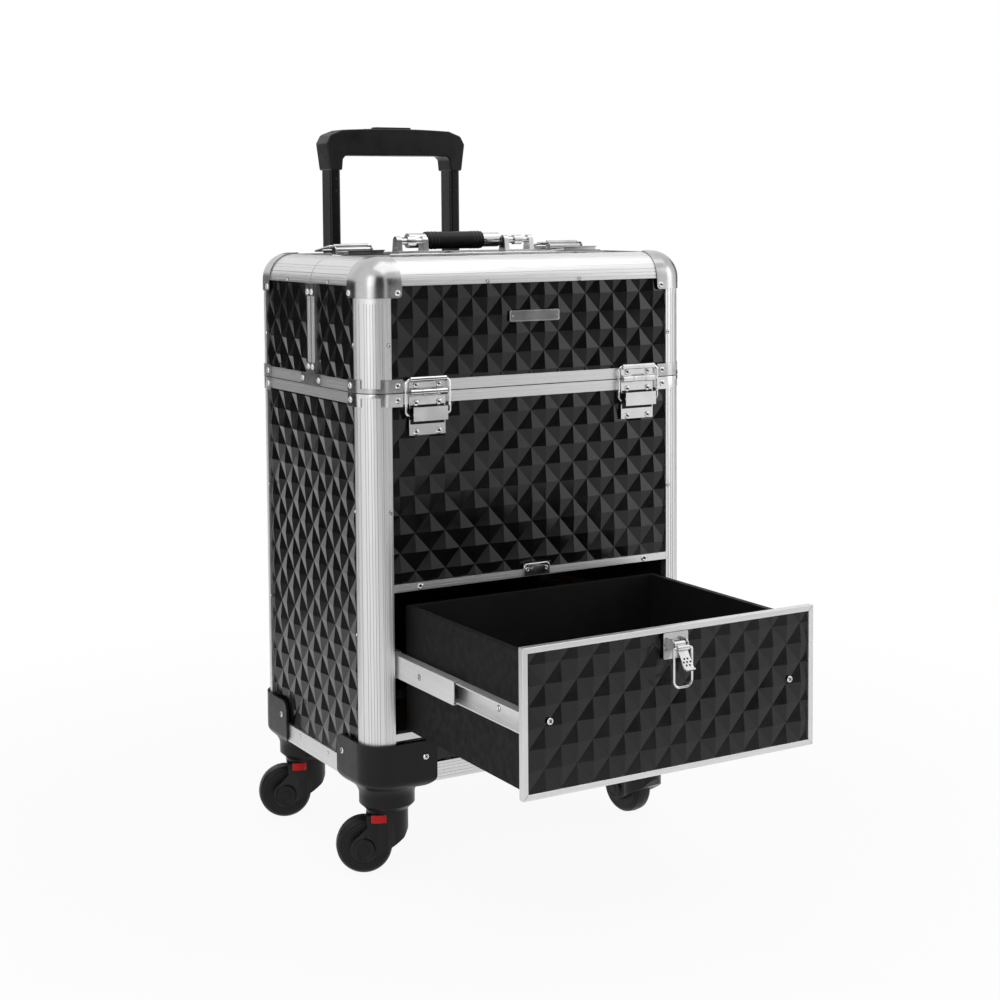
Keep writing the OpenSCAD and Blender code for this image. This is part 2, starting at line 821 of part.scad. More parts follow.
module lid_rivets(seam) {
    at_hinges(hinge_z) for (x = [-leaf_rivet_x, leaf_rivet_x])
        translate([x, -leaf_t, roll_up - roll_r - rivet_r - 0.2]) on_front() rivet();
    both_sides() {
        translate([-open_x + clip_reach / 2, -face_y - clip_t, lid_z + clip_h / 2]) on_front() rivet();
        translate([-face_x - clip_t, -open_y + clip_reach / 2, lid_z + clip_h / 2]) on_left() rivet();
        translate([-face_x - clip_t, seam - seam_clip_len + 4, lid_z + rim_h / 2]) on_left() rivet();
        for (z = [rim_high_z + clip_reach - 4, lid_shoulder_z - clip_h + 4])
            translate([-face_x - clip_t, seam - seam_rail_w / 2, z]) on_left() rivet();
        translate([-open_x + clip_reach - 4.5, -face_y - clip_t, lid_shoulder_z - clip_reach + 4.5])
            on_front() rivet();
        translate([-face_x - clip_t, -open_y + clip_reach - 4.5, lid_shoulder_z - clip_reach + 4.5])
            on_left() rivet();
    }
}

module front_lid_panels() {
    color(black_panel) lid_panels(front_seam_y);
}

module front_lid_frame() {
    color(aluminium) lid_frame(front_seam_y);
}

module front_lid_corners() {
    color(chrome) lid_corners(front_seam_y);
}

module front_lid_hinges() {
    color(chrome) at_hinges(hinge_z) upper_leaf();
}

module front_lid_rivets() {
    color(chrome) lid_rivets(front_seam_y);
}

module front_stays() {
    color(chrome) at_hinges(hinge_z) stay();
}

module rear_lid_panels() {
    color(black_panel) mirror([0, 1, 0]) lid_panels(-rear_seam_y);
}

module rear_lid_frame() {
    color(aluminium) mirror([0, 1, 0]) lid_frame(-rear_seam_y);
}

module rear_lid_corners() {
    color(chrome) mirror([0, 1, 0]) lid_corners(-rear_seam_y);
}

module rear_lid_hinges() {
    color(chrome) mirror([0, 1, 0]) at_hinges(hinge_z) upper_leaf();
}

module rear_lid_rivets() {
    color(chrome) mirror([0, 1, 0]) lid_rivets(-rear_seam_y);
}

module rear_stays() {
    color(chrome) mirror([0, 1, 0]) at_hinges(hinge_z) stay();
}

badge_w = 56;
badge_h = 11;
badge_up = 67;

module badge_plate() {
    color(chrome) translate([0, -face_y + panel_inset, seam_z + badge_up]) on_front()
        linear_extrude(leaf_t) rounded_rectangle(badge_w, badge_h, 2);
}

// Draw latches, in their own frame

module latch_base(width) {
    half = width / 2;
    cheek = half - latch_edge;
    outer = cheek + latch_plate_t;
    linear_extrude(latch_plate_t) translate([0, -1.5]) rounded_rectangle(width, 23, 2);
    both_sides() {
        block([-outer, -4.5, 0], [-cheek, 4.5, latch_pin_up]);
        translate([-outer, 0, latch_pin_up]) rotate([0, 90, 0]) cylinder(r = 4.5, h = latch_plate_t);
    }
    translate([-outer, 0, latch_pin_up]) rotate([0, 90, 0]) cylinder(r = latch_pin_r, h = 2 * outer);
}

// Lever about its pin at the origin, folded flat
module latch_lever(width) {
    half = width / 2 - latch_edge - 0.4;
    difference() {
        union() {
            translate([-half, 0, 0]) rotate([0, 90, 0]) cylinder(r = latch_hub_r, h = 2 * half);
            block([-half + 1, -lever_len, 1], [half - 1, 0, 2.4]);
            translate([-half, bail_seat[0], bail_seat[1]]) rotate([0, 90, 0])
                cylinder(r = bail_seat_r, h = 2 * half);
            block([-half + 1, -lever_len - 1.4, 1], [half - 1, -lever_len, 4]);
        }
        translate([-width, 0, 0]) rotate([0, 90, 0])
            cylinder(r = latch_pin_r + pin_clear, h = 2 * width);
        translate([-width, bail_seat[0], bail_seat[1]]) rotate([0, 90, 0])
            cylinder(r = latch_wire_r + pin_clear, h = 2 * width);
    }
}

// Wire bail about its seat at the origin, pointing along -y
module latch_bail(width) {
    bail_half = width / 2 - latch_edge + latch_plate_t + latch_wire_r + 0.6;
    translate([-bail_half, 0, 0]) rotate([0, 90, 0]) cylinder(r = latch_wire_r, h = 2 * bail_half);
    translate([-bail_half, -bail_len, 0]) rotate([0, 90, 0])
        cylinder(r = latch_wire_r, h = 2 * bail_half);
    both_sides() {
        translate([-bail_half, 0, 0]) rotate([90, 0, 0]) cylinder(r = latch_wire_r, h = bail_len);
        translate([-bail_half, 0, 0]) sphere(latch_wire_r);
        translate([-bail_half, -bail_len, 0]) sphere(latch_wire_r);
    }
}

module at_top_latch(side) {
    translate([side * latch_x, latch_y, top_plane_z]) rotate([0, 0, 180]) children();
}

module latch_bases() {
    color(chrome) for (side = [-1, 1]) at_top_latch(side) latch_base(latch_w);
}

module top_lever(side) {
    color(chrome) at_top_latch(side) translate([0, 0, latch_pin_up]) latch_lever(latch_w);
}

module top_bail(side) {
    color(chrome) at_top_latch(side)
        translate([0, bail_seat[0], latch_pin_up + bail_seat[1]]) rotate([bail_droop, 0, 0])
            latch_bail(latch_w);
}

module latch_lever_left() {
    top_lever(-1);
}

module latch_lever_right() {
    top_lever(1);
}

module latch_bail_left() {
    top_bail(-1);
}

module latch_bail_right() {
    top_bail(1);
}

// Hooked strike plates on the front lid's seam rail
module latch_strikes() {
    strike = latch_w / 2 - latch_edge;
    color(chrome) for (side = [-1, 1])
        translate([side * latch_x, front_seam_y, top_z]) {
            block([-latch_w / 2, -seam_rail_w, 0], [latch_w / 2, -0.6, leaf_t]);
            block([-strike, -seam_rail_w, leaf_t], [strike, -seam_rail_w + leaf_t, 5]);
            block([-strike, -seam_rail_w - 2, 5 - leaf_t], [strike, -seam_rail_w, 5]);
        }
}

// Carry handle on the rear lid, folded back

module carry_brackets() {
    half = bracket_w / 2;
    color(chrome) both_sides() translate([-bracket_x, bracket_y, top_plane_z]) {
        block([-half, -bracket_d / 2, 0], [half, bracket_d / 2, 3]);
        for (x = [-half, half - ear_t])
            translate([x, 0, 0]) rotate([90, 0, 90]) linear_extrude(ear_t) {
                translate([0, carry_pin_up]) circle(ear_r);
                polygon([
                    [-bracket_d / 2, 0], [bracket_d / 2, 0], [ear_r, carry_pin_up], [-ear_r, carry_pin_up]
                ]);
            }
        translate([-half, 0, carry_pin_up]) rotate([0, 90, 0]) cylinder(r = carry_pin_r, h = bracket_w);
    }
}

grip_half = carry_grip_len / 2;

module carry_arms() {
    color(chrome) translate([0, bracket_y, carry_pin_z]) both_sides() difference() {
        union() {
            translate([-bracket_x - eye_w / 2, 0, 0]) rotate([0, 90, 0]) cylinder(r = eye_r, h = eye_w);
            block([-bracket_x - eye_w / 2, 0, -3.5], [-bracket_x + eye_w / 2, carry_arm, 3.5]);
            translate([-bracket_x - eye_w / 2, carry_arm, 0]) rotate([0, 90, 0])
                cylinder(r = 3.5, h = eye_w);
            translate([-bracket_x, carry_arm, 0]) rotate([0, 90, 0])
                cylinder(r = 3.5, h = bracket_x - grip_half);
            translate([-grip_half - carry_collar, carry_arm, 0]) rotate([0, 90, 0])
                cylinder(r = carry_grip_d / 2 - 1.5, h = carry_collar);
        }
        translate([-case_w, 0, 0]) rotate([0, 90, 0])
            cylinder(r = carry_pin_r + pin_clear, h = 2 * case_w);
    }
}

module carry_grip() {
    color(black_plastic) translate([-grip_half, bracket_y + carry_arm, carry_pin_z])
        rotate([0, 90, 0]) cylinder(d = carry_grip_d, h = carry_grip_len);
}

// Trolley handle behind the case

module tube(w, d, r, length, wall) {
    linear_extrude(length) difference() {
        rounded_rectangle(w, d, r);
        rounded_rectangle(w - 2 * wall, d - 2 * wall, r - wall);
    }
}

module at_tubes(z) {
    for (x = [-tube_gap / 2, tube_gap / 2])
        translate([x, tube_y, z]) children();
}

middle_r = tube_r + tube_clear + tube_wall;
sleeve_r = middle_r + tube_clear + tube_wall;

module handle_sleeves() {
    color(aluminium) at_tubes(sleeve_low_z)
        tube(sleeve_w, sleeve_d, sleeve_r, sleeve_top_z - sleeve_low_z, tube_wall);
}

module handle_middle_tubes() {
    color(aluminium) at_tubes(middle_top_z - tube_len)
        tube(middle_w, middle_d, middle_r, tube_len, tube_wall);
}

module handle_inner_tubes() {
    color(aluminium) at_tubes(inner_top_z - tube_len)
        tube(tube_w, tube_d, tube_r, tube_len, tube_wall);
}

// Block that holds both sleeves to the rear of the case
module handle_mount(low_z) {
    half = tube_gap / 2 + sleeve_w / 2 + mount_pad;
    arm_w = 2 * mount_pad + sleeve_w;
    front = tube_y - sleeve_d / 2 - mount_pad / 2;
    rear = tube_y + sleeve_d / 2 + mount_pad / 2;
    block([-half + arm_w + split, front, low_z], [half - arm_w - split, rear, low_z + mount_h]);
    both_sides() difference() {
        block([-half, face_y, low_z], [-half + arm_w, rear, low_z + mount_h]);
        translate([-tube_gap / 2, tube_y, low_z - 1])
            linear_extrude(mount_h + 2) rounded_rectangle(sleeve_w, sleeve_d, sleeve_r);
    }
}

module handle_mounts() {
    color(black_plastic) {
        handle_mount(sleeve_top_z - mount_h);
        handle_mount(sleeve_low_z);
    }
}

// Outline of the grip seen from the front, with its foot at z = 0
module grip_outline() {
    half = grip_w / 2;
    foot = tube_gap / 2 + tube_w / 2 + 1;
    inner = tube_gap / 2 - tube_w / 2 - 1;
    shoulder = grip_h - 16;
    crown_drop = 3;
    crown_r = (half * half + crown_drop * crown_drop) / (2 * crown_drop);
    difference() {
        intersection() {
            polygon([
                [-foot, 0], [-half, shoulder], [-half + 5, shoulder + 9], [-half + 24, grip_h],
                [half - 24, grip_h], [half - 5, shoulder + 9], [half, shoulder], [foot, 0]
            ]);
            translate([0, grip_h - crown_r]) circle(crown_r, $fn = 360);
        }
        polygon([
            [-inner, -1], [inner, -1], [inner, 0], [inner - 1, grip_gap - 4], [inner - 5, grip_gap],
            [-inner + 5, grip_gap], [-inner + 1, grip_gap - 4], [-inner, 0]
        ]);
    }
}

module button_pocket(clear) {
    depth = button_h + button_travel + 0.4;
    translate([0, tube_y, grip_top_z - depth]) linear_extrude(depth + 1)
        rounded_rectangle(button_len + 2 * clear, button_w + 2 * clear, 4 + clear);
}

module handle_grip() {
    color(black_plastic) difference() {
        translate([0, tube_y + grip_d / 2, inner_top_z]) on_front() linear_extrude(grip_d) grip_outline();
        button_pocket(tube_clear);
    }
}

module handle_button() {
    color(black_plastic) translate([0, tube_y, grip_top_z - button_h])
        linear_extrude(button_h + button_up) rounded_rectangle(button_len, button_w, 4);
}

// Drawer, modelled shut and drawn out by drawer_out

module opened() {
    translate([0, -drawer_out, 0]) children();
}

module drawer_box() {
    x = drawer_box_x;
    y0 = drawer_back_y;
    y1 = drawer_back_y + drawer_box_d;
    z0 = drawer_box_z;
    z1 = drawer_box_z + drawer_box_h;
    w = drawer_wall;
    g = split;
    color(black_panel) opened() {
        both_sides() block([-x, y0, z0], [-x + w, y1, z1]);
        block([-x + w + g, y0, z0], [x - w - g, y0 + w, z1]);
        block([-x + w + g, y1 - w, z0], [x - w - g, y1, z1]);
        block([-x + w + g, y0 + w + g, z0], [x - w - g, y1 - w - g, z0 + w]);
    }
}

module drawer_front() {
    w = drawer_w - 2 * trim_w - 2 * split;
    h = drawer_h - 2 * trim_w - 2 * split;
    board = drawer_front_t - panel_inset - relief;
    color(black_panel) opened()
        translate([0, drawer_back_y, drawer_mid_z]) on_front() difference() {
            diamond_board(w, h, board);
            both_sides() translate([-drawer_screw_x, drawer_screw_up, board - 1.2])
                cylinder(r = drawer_screw_r + pin_clear, h = relief + 2.4);
        }
}

// One mitred bar along the lower edge of a w by h frame
module mitred_bar(w, h) {
    half = w / 2 - split;
    low = -h / 2;
    linear_extrude(drawer_front_t)
        polygon([[-half, low], [half, low], [half - trim_w, low + trim_w], [-half + trim_w, low + trim_w]]);
}

// Mitred trim round the drawer front, and the two screws beside the latch
module drawer_trim() {
    screw_y = -drawer_front_t + panel_inset;
    color(aluminium) opened() translate([0, drawer_back_y, drawer_mid_z]) {
        on_front() for (turn = [0, 180]) {
            rotate(turn) mitred_bar(drawer_w, drawer_h);
            rotate(turn + 90) mitred_bar(drawer_h, drawer_w);
        }
        both_sides() translate([-drawer_screw_x, screw_y, drawer_screw_up]) on_front() {
            rivet();
            translate([0, 0, -relief - 1]) cylinder(r = drawer_screw_r, h = relief + 1 + touch);
        }
    }
}

module at_drawer_latch() {
    opened() translate([0, -face_y, drawer_latch_z]) on_front() children();
}

module drawer_latch_base() {
    color(chrome) at_drawer_latch() latch_base(drawer_latch_w);
}

module drawer_latch_lever() {
    color(chrome) at_drawer_latch()
        translate([0, 0, latch_pin_up]) rotate([-drawer_lever_open, 0, 0]) latch_lever(drawer_latch_w);
}

module drawer_latch_bail() {
    color(chrome) at_drawer_latch() translate([0, 0, latch_pin_up]) rotate([-drawer_lever_open, 0, 0])
        translate([0, bail_seat[0], bail_seat[1]]) rotate([drawer_lever_open, 0, 0])
            latch_bail(drawer_latch_w);
}

// Casters: the fork trails along +x before it is turned about its swivel

caster_turn = [154, 97, 160, 150];

module at_swivel(x, y, turn) {
    translate([x * swivel_x, y * swivel_y, 0]) rotate(turn) children();
}

fork_foot_r = 13;
fork_head_r = fork_half + 2;
hood_h = 20;
hood_z = fork_top_z - hood_h;
fork_tab = [14.4, 1.2, 7.4];
fork_tab_down = 9;
hub_cap_r = 10.6;

// Side outline of a fork arm: the axle end, the neck and the part under the head
module fork_outline() {
    translate([trail, axle_z]) circle(fork_foot_r);
    polygon([
        [-fork_head_r, hood_z + hood_h - 4], [-fork_head_r, hood_z], [-fork_head_r + 4, hood_z - 7],
        [trail - fork_foot_r * 0.7, axle_z - fork_foot_r * 0.7], [trail, axle_z],
        [trail + fork_foot_r * 0.92, axle_z + fork_foot_r * 0.4],
        [fork_head_r - 1, hood_z + hood_h / 4], [fork_head_r, hood_z + hood_h - 4]
    ]);
}

module fork() {
    arm_y = wheel_w / 2 + wheel_clear;
    slot_r = wheel_d / 2 + wheel_clear;
    color(black_plastic) {
        difference() {
            union() {
                translate([0, 0, hood_z]) cylinder(r = fork_head_r, h = fork_top_z - hood_z);
                translate([0, 0, fork_top_z - touch]) cylinder(r = stem_r, h = stem_len + touch);
                intersection() {
                    translate([0, fork_head_r, 0]) rotate([90, 0, 0])
                        linear_extrude(2 * fork_head_r) fork_outline();
                    translate([0, 0, -1]) linear_extrude(fork_top_z) fork_plan();
                }
            }
            translate([trail, -arm_y, axle_z]) rotate([-90, 0, 0]) cylinder(r = slot_r, h = 2 * arm_y);
            translate([trail, -fork_half - 1, axle_z]) rotate([-90, 0, 0])
                cylinder(r = axle_r + split, h = 2 * fork_half + 2);
            translate([trail - slot_r, -arm_y, -1]) cube([3 * slot_r, 2 * arm_y, axle_z + 1]);
        }
        translate([trail, -fork_half, axle_z]) rotate([-90, 0, 0])
            cylinder(r = axle_r, h = 2 * fork_half);
        front_and_rear()
            translate([trail, -fork_half - split, axle_z]) rotate([90, 0, 0])
                cylinder(r1 = hub_cap_r, r2 = hub_cap_r - 1, h = 1.6);
    }
    color("red") front_and_rear()
        translate([0, 0, fork_top_z - fork_tab_down - fork_tab[2]])
            linear_extrude(fork_tab[2]) intersection() {
            difference() {
                circle(fork_head_r + fork_tab[1]);
                circle(fork_head_r + split);
            }
            translate([-fork_tab[0] / 2, -2 * fork_head_r]) square([fork_tab[0], 2 * fork_head_r]);
        }
}

// Plan of a fork: the round head and the straight arms behind it
module fork_plan() {
    circle(fork_head_r);
    translate([0, -fork_half]) square([trail + 2 * fork_foot_r, 2 * fork_half]);
}

module wheel() {
    half = wheel_w / 2;
    rim_r = wheel_d / 2;
    edge = 3;
    color(black_plastic) translate([trail, 0, axle_z]) rotate([90, 0, 0]) rotate_extrude()
        polygon([
            [axle_r + pin_clear, -half], [rim_r - edge - 2, -half], [rim_r - edge, -half + 1],
            [rim_r - 0.8, -half + edge + 0.8], [rim_r, 0], [rim_r - 0.8, half - edge - 0.8],
            [rim_r - edge, half - 1], [rim_r - edge - 2, half], [axle_r + pin_clear, half]
        ]);
}

module fork_front_left() {
    at_swivel(-1, -1, caster_turn[0]) fork();
}

module fork_front_right() {
    at_swivel(1, -1, caster_turn[1]) fork();
}

module fork_rear_left() {
    at_swivel(-1, 1, caster_turn[2]) fork();
}

module fork_rear_right() {
    at_swivel(1, 1, caster_turn[3]) fork();
}

module wheel_front_left() {
    at_swivel(-1, -1, caster_turn[0]) wheel();
}

module wheel_front_right() {
    at_swivel(1, -1, caster_turn[1]) wheel();
}

module wheel_rear_left() {
    at_swivel(-1, 1, caster_turn[2]) wheel();
}

module wheel_rear_right() {
    at_swivel(1, 1, caster_turn[3]) wheel();
}

// Cantilever trays under the front lid

// Tray with lid pivot pins and arm pins; pivot is [y, z] of its pins in the lid's side panels
module tray(pivot, low_z, height) {
    y0 = tray_front_y;
    y1 = tray_front_y + tray_d;
    w = tray_wall;
    lid_pin = face_x - panel_back - tray_half - 0.2;
    arm_pin = tray_arm_gap + tray_arm_t + 0.6;
    color(black_plastic) {
        difference() {
            block([-tray_half, y0, low_z], [tray_half, y1, low_z + height]);
            block([-tray_half + w, y0 + w, low_z + w], [tray_half - w, y1 - w, low_z + height + 1]);
        }
        both_sides() {
            translate([-tray_half + touch, pivot[0], pivot[1]]) rotate([0, -90, 0])
                cylinder(r = tray_pin_r, h = lid_pin + touch);
            translate([-tray_half + touch, pivot[0] + tray_arm_dy, pivot[1] + tray_arm_dz])
                rotate([0, -90, 0]) cylinder(r = tray_pin_r, h = arm_pin + touch);
        }
    }
}

module tray_low() {
    tray(tray_pivot[0], tray_low_z, tray_low_h);
}

module tray_high() {
    tray(tray_pivot[1], tray_high_z, tray_high_h);
}

// Pair of arms from the studs on the lower case to both trays
module tray_arms() {
    long = 2 * tray_step * sqrt(2);
    color(chrome) both_sides()
        translate([-tray_arm_x - tray_arm_t, tray_base_y, tray_base_z]) rotate([45, 0, 0])
            rotate([90, 0, 90]) linear_extrude(tray_arm_t) difference() {
                union() {
                    translate([0, -tray_arm_w / 2]) square([long, tray_arm_w]);
                    circle(d = tray_arm_w);
                    translate([long, 0]) circle(d = tray_arm_w);
                }
                for (x = [0, long / 2, long])
                    translate([x, 0]) circle(tray_pin_r + pin_clear);
            }
}

lower_posts();
lower_rails();
bay_rails();
side_panels();
rear_panel();
front_panel();
inner_boards();
lower_clips();
boots();
slide_channels();
drawer_catch();
lower_hinge_leaves();
case_rivets();
handle_sleeves();
handle_mounts();
front_lid_panels();
front_lid_frame();
front_lid_corners();
front_lid_hinges();
front_lid_rivets();
badge_plate();
latch_strikes();
rear_lid_panels();
rear_lid_frame();
rear_lid_corners();
rear_lid_hinges();
rear_lid_rivets();
carry_brackets();
latch_bases();
front_stays();
rear_stays();
latch_lever_left();
latch_lever_right();
latch_bail_left();
latch_bail_right();
carry_arms();
carry_grip();
handle_middle_tubes();
handle_inner_tubes();
handle_grip();
handle_button();
drawer_box();
drawer_front();
drawer_trim();
drawer_rails();
slide_middle_rails();
drawer_latch_base();
drawer_latch_lever();
drawer_latch_bail();
fork_front_left();
fork_front_right();
fork_rear_left();
fork_rear_right();
wheel_front_left();
wheel_front_right();
wheel_rear_left();
wheel_rear_right();
tray_low();
tray_high();
tray_arms();
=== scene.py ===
import json
import math
from collections import Counter

import bmesh
import bpy
from mathutils import Matrix, Vector
from mathutils.bvhtree import BVHTree

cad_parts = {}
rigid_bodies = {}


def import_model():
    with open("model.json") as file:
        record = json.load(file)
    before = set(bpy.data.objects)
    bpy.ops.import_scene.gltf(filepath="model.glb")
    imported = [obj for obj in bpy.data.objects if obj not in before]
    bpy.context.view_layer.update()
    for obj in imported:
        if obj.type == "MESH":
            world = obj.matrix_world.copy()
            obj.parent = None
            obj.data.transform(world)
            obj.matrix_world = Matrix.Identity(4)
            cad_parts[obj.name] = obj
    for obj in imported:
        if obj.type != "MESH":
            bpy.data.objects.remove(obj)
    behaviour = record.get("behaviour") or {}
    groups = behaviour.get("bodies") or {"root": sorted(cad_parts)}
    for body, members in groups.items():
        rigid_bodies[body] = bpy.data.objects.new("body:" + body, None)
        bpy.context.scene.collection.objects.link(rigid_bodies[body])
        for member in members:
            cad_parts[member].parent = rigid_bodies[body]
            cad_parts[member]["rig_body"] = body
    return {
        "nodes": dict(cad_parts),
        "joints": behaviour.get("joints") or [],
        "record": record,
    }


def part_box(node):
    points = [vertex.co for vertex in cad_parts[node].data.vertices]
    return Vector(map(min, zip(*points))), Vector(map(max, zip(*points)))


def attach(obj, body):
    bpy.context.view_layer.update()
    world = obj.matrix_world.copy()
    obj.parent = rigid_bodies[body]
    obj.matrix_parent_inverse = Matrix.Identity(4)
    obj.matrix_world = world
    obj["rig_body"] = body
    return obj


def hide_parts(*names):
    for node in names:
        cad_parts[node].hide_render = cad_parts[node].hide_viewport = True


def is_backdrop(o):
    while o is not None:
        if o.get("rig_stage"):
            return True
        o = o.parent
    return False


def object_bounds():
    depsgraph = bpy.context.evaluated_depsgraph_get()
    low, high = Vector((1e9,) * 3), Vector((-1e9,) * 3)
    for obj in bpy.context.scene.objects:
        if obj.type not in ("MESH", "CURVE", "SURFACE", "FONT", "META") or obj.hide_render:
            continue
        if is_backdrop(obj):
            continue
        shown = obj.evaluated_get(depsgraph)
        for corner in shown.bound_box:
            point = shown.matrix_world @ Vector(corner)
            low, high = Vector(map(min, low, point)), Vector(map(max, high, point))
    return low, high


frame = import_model()
cad_low, cad_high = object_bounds()
nodes = frame["nodes"]
joints = {j["name"]: j for j in frame["joints"]}
slot_of = {row["node"]: row["material_slot"] for row in frame["record"]["subparts"]}
scene = bpy.context.scene
MM = 0.001
AXES = "xyz"
CORNERS = ("front_left", "front_right", "rear_left", "rear_right")
# The lids and the way each faces along y
LIDS = (("front_lid", -1), ("rear_lid", 1))
# Points closer than WELD are one point, and points closer than NEAR to a cut lie on it
WELD, NEAR = 2e-6, 1e-6


# Materials

class Shader:
    """A Principled material with helpers for the nodes that feed it."""

    def __init__(self, name, colour, metallic=0.0, roughness=0.5, specular=0.5):
        self.material = bpy.data.materials.new(name)
        self.material.use_nodes = True
        self.tree = self.material.node_tree
        self.bsdf = self.tree.nodes["Principled BSDF"]
        self.set("Base Color", (*colour, 1))
        self.set("Metallic", metallic)
        self.set("Roughness", roughness)
        self.set("Specular IOR Level", specular)
        self.coords = self.add("ShaderNodeTexCoord").outputs["Object"]

    def set(self, socket, value):
        self.bsdf.inputs[socket].default_value = value

    def add(self, kind, **values):
        node = self.tree.nodes.new(kind)
        for key, value in values.items():
            setattr(node, key, value)
        return node

    def link(self, source, target):
        self.tree.links.new(source, target)

    def noise(self, scale, stretch=(1, 1, 1), detail=4, rough=0.55):
        """Noise in object space: scale is in features per metre."""
        mapping = self.add("ShaderNodeMapping")
        mapping.inputs["Scale"].default_value = stretch
        self.link(self.coords, mapping.inputs["Vector"])
        noise = self.add("ShaderNodeTexNoise")
        noise.inputs["Scale"].default_value = scale
        noise.inputs["Detail"].default_value = detail
        noise.inputs["Roughness"].default_value = rough
        self.link(mapping.outputs["Vector"], noise.inputs["Vector"])
        return noise.outputs["Fac"]

    def cells(self, scale):
        voronoi = self.add("ShaderNodeTexVoronoi")
        voronoi.inputs["Scale"].default_value = scale
        self.link(self.coords, voronoi.inputs["Vector"])
        return voronoi.outputs["Distance"]

    def ramp(self, value, low, high, start=0.3, end=0.7):
        """Maps a value from start..end to low..high, numbers or colours alike."""
        ramp = self.add("ShaderNodeValToRGB")
        stops = ramp.color_ramp.elements
        for stop, place, level in ((stops[0], start, low), (stops[1], end, high)):
            stop.position = place
            stop.color = (*level, 1) if hasattr(level, "__len__") else (level, level, level, 1)
        self.link(value, ramp.inputs["Fac"])
        return ramp.outputs["Color"]

    def colour(self, value, low, high, start=0.3, end=0.7):
        self.link(self.ramp(value, low, high, start, end), self.bsdf.inputs["Base Color"])

    def roughness(self, value, low, high):
        self.link(self.ramp(value, low, high), self.bsdf.inputs["Roughness"])

    def bump(self, value, depth, strength):
        """Bump whose depth is in metres."""
        bump = self.add("ShaderNodeBump")
        bump.inputs["Strength"].default_value = strength
        bump.inputs["Distance"].default_value = depth
        self.link(value, bump.inputs["Height"])
        self.link(bump.outputs["Normal"], self.bsdf.inputs["Normal"])

    def worn(self, value, base, edge, start=0.52, end=0.6):
        """Painted highlight: colour that runs from base to edge where the mesh is convex, broken up by a
        noise value.
        """
        convex = self.add("ShaderNodeNewGeometry").outputs["Pointiness"]
        highlight_share = self.ramp(convex, 0.0, 1.0, start, end)
        broken = self.add("ShaderNodeMath", operation="MULTIPLY")
        self.link(highlight_share, broken.inputs[0])
        self.link(value, broken.inputs[1])
        mix = self.add("ShaderNodeMix", data_type="RGBA")
        mix.inputs["A"].default_value = (*base, 1)
        mix.inputs["B"].default_value = (*edge, 1)
        self.link(broken.outputs["Value"], mix.inputs["Factor"])
        self.link(mix.outputs["Result"], self.bsdf.inputs["Base Color"])


def grey(level):
    return (level, level, level)


def drawn_metal(name, axis, dark, light, rough_low, rough_high):
    """Metal with fine streaks along one axis of the piece."""
    shader = Shader(name, light, metallic=1.0, roughness=rough_low)
    stretch = [1.0 if AXES[k] == axis else 90.0 for k in range(3)]
    streaks = shader.noise(16, stretch, detail=3)
    shader.colour(streaks, dark, light, 0.25, 0.75)
    shader.roughness(shader.noise(40, stretch, detail=2), rough_low, rough_high)
    shader.bump(streaks, 0.00001, 0.15)
    return shader.material


def plated_metal(name, dark, light, rough_low, rough_high):
    """Plating with faint smears and fine pits."""
    shader = Shader(name, light, metallic=1.0, roughness=rough_low)
    smears = shader.noise(45, detail=5)
    shader.colour(smears, dark, light)
    shader.roughness(smears, rough_low, rough_high)
    shader.bump(shader.noise(900, detail=2), 0.00002, 0.2)
    return shader.material


def pressed_sheet(name):
    """Satin black sheet with a fine grain."""
    shader = Shader(name, grey(0.005), roughness=0.18, specular=0.33)
    clouds = shader.noise(55, detail=5)
    shader.colour(clouds, grey(0.004), grey(0.0075))
    shader.roughness(clouds, 0.14, 0.22)
    shader.bump(shader.noise(1500, detail=3), 0.00003, 0.2)
    return shader.material


def moulded_plastic(name, base, edge, rough_low, rough_high):
    """Fine-grained plastic with a painted highlight: paler along its convex edges."""
    shader = Shader(name, base, roughness=rough_low, specular=0.22)
    clouds = shader.noise(70, detail=5)
    # Painted highlight along the convex edges
    shader.worn(clouds, base, edge)
    shader.roughness(clouds, rough_low, rough_high)
    shader.bump(shader.noise(1100, detail=4), 0.00006, 0.4)
    return shader.material


def lined_board(name):
    """Matt black board with a pebbled paper lining."""
    shader = Shader(name, grey(0.008), roughness=0.6, specular=0.15)
    shader.colour(shader.noise(30, detail=6), grey(0.007), grey(0.0095))
    shader.roughness(shader.noise(120, detail=3), 0.5, 0.72)
    shader.bump(shader.cells(900), 0.00008, 0.5)
    return shader.material


def fibre_board(name):
    shader = Shader(name, (0.3, 0.2, 0.12), roughness=0.75, specular=0.3)
    fibres = shader.noise(260, (1, 3, 6), detail=8, rough=0.7)
    shader.colour(fibres, (0.2, 0.125, 0.07), (0.38, 0.26, 0.16))
    shader.roughness(shader.noise(90), 0.62, 0.85)
    shader.bump(fibres, 0.00015, 0.5)
    return shader.material


def coated_tube(name):
    shader = Shader(name, grey(0.006), roughness=0.28, specular=0.22)
    peel = shader.noise(420, detail=2)
    shader.colour(shader.noise(60), grey(0.005), grey(0.008))
    shader.roughness(shader.noise(35, (1, 1, 0.1), detail=4), 0.2, 0.36)
    shader.bump(peel, 0.00004, 0.3)
    return shader.material


def tyre_rubber(name):
    shader = Shader(name, grey(0.008), roughness=0.45, specular=0.22)
    shader.colour(shader.noise(50, detail=6), grey(0.006), grey(0.012))
    shader.roughness(shader.noise(140), 0.34, 0.52)
    shader.bump(shader.noise(1400, detail=4), 0.00008, 0.5)
    return shader.material


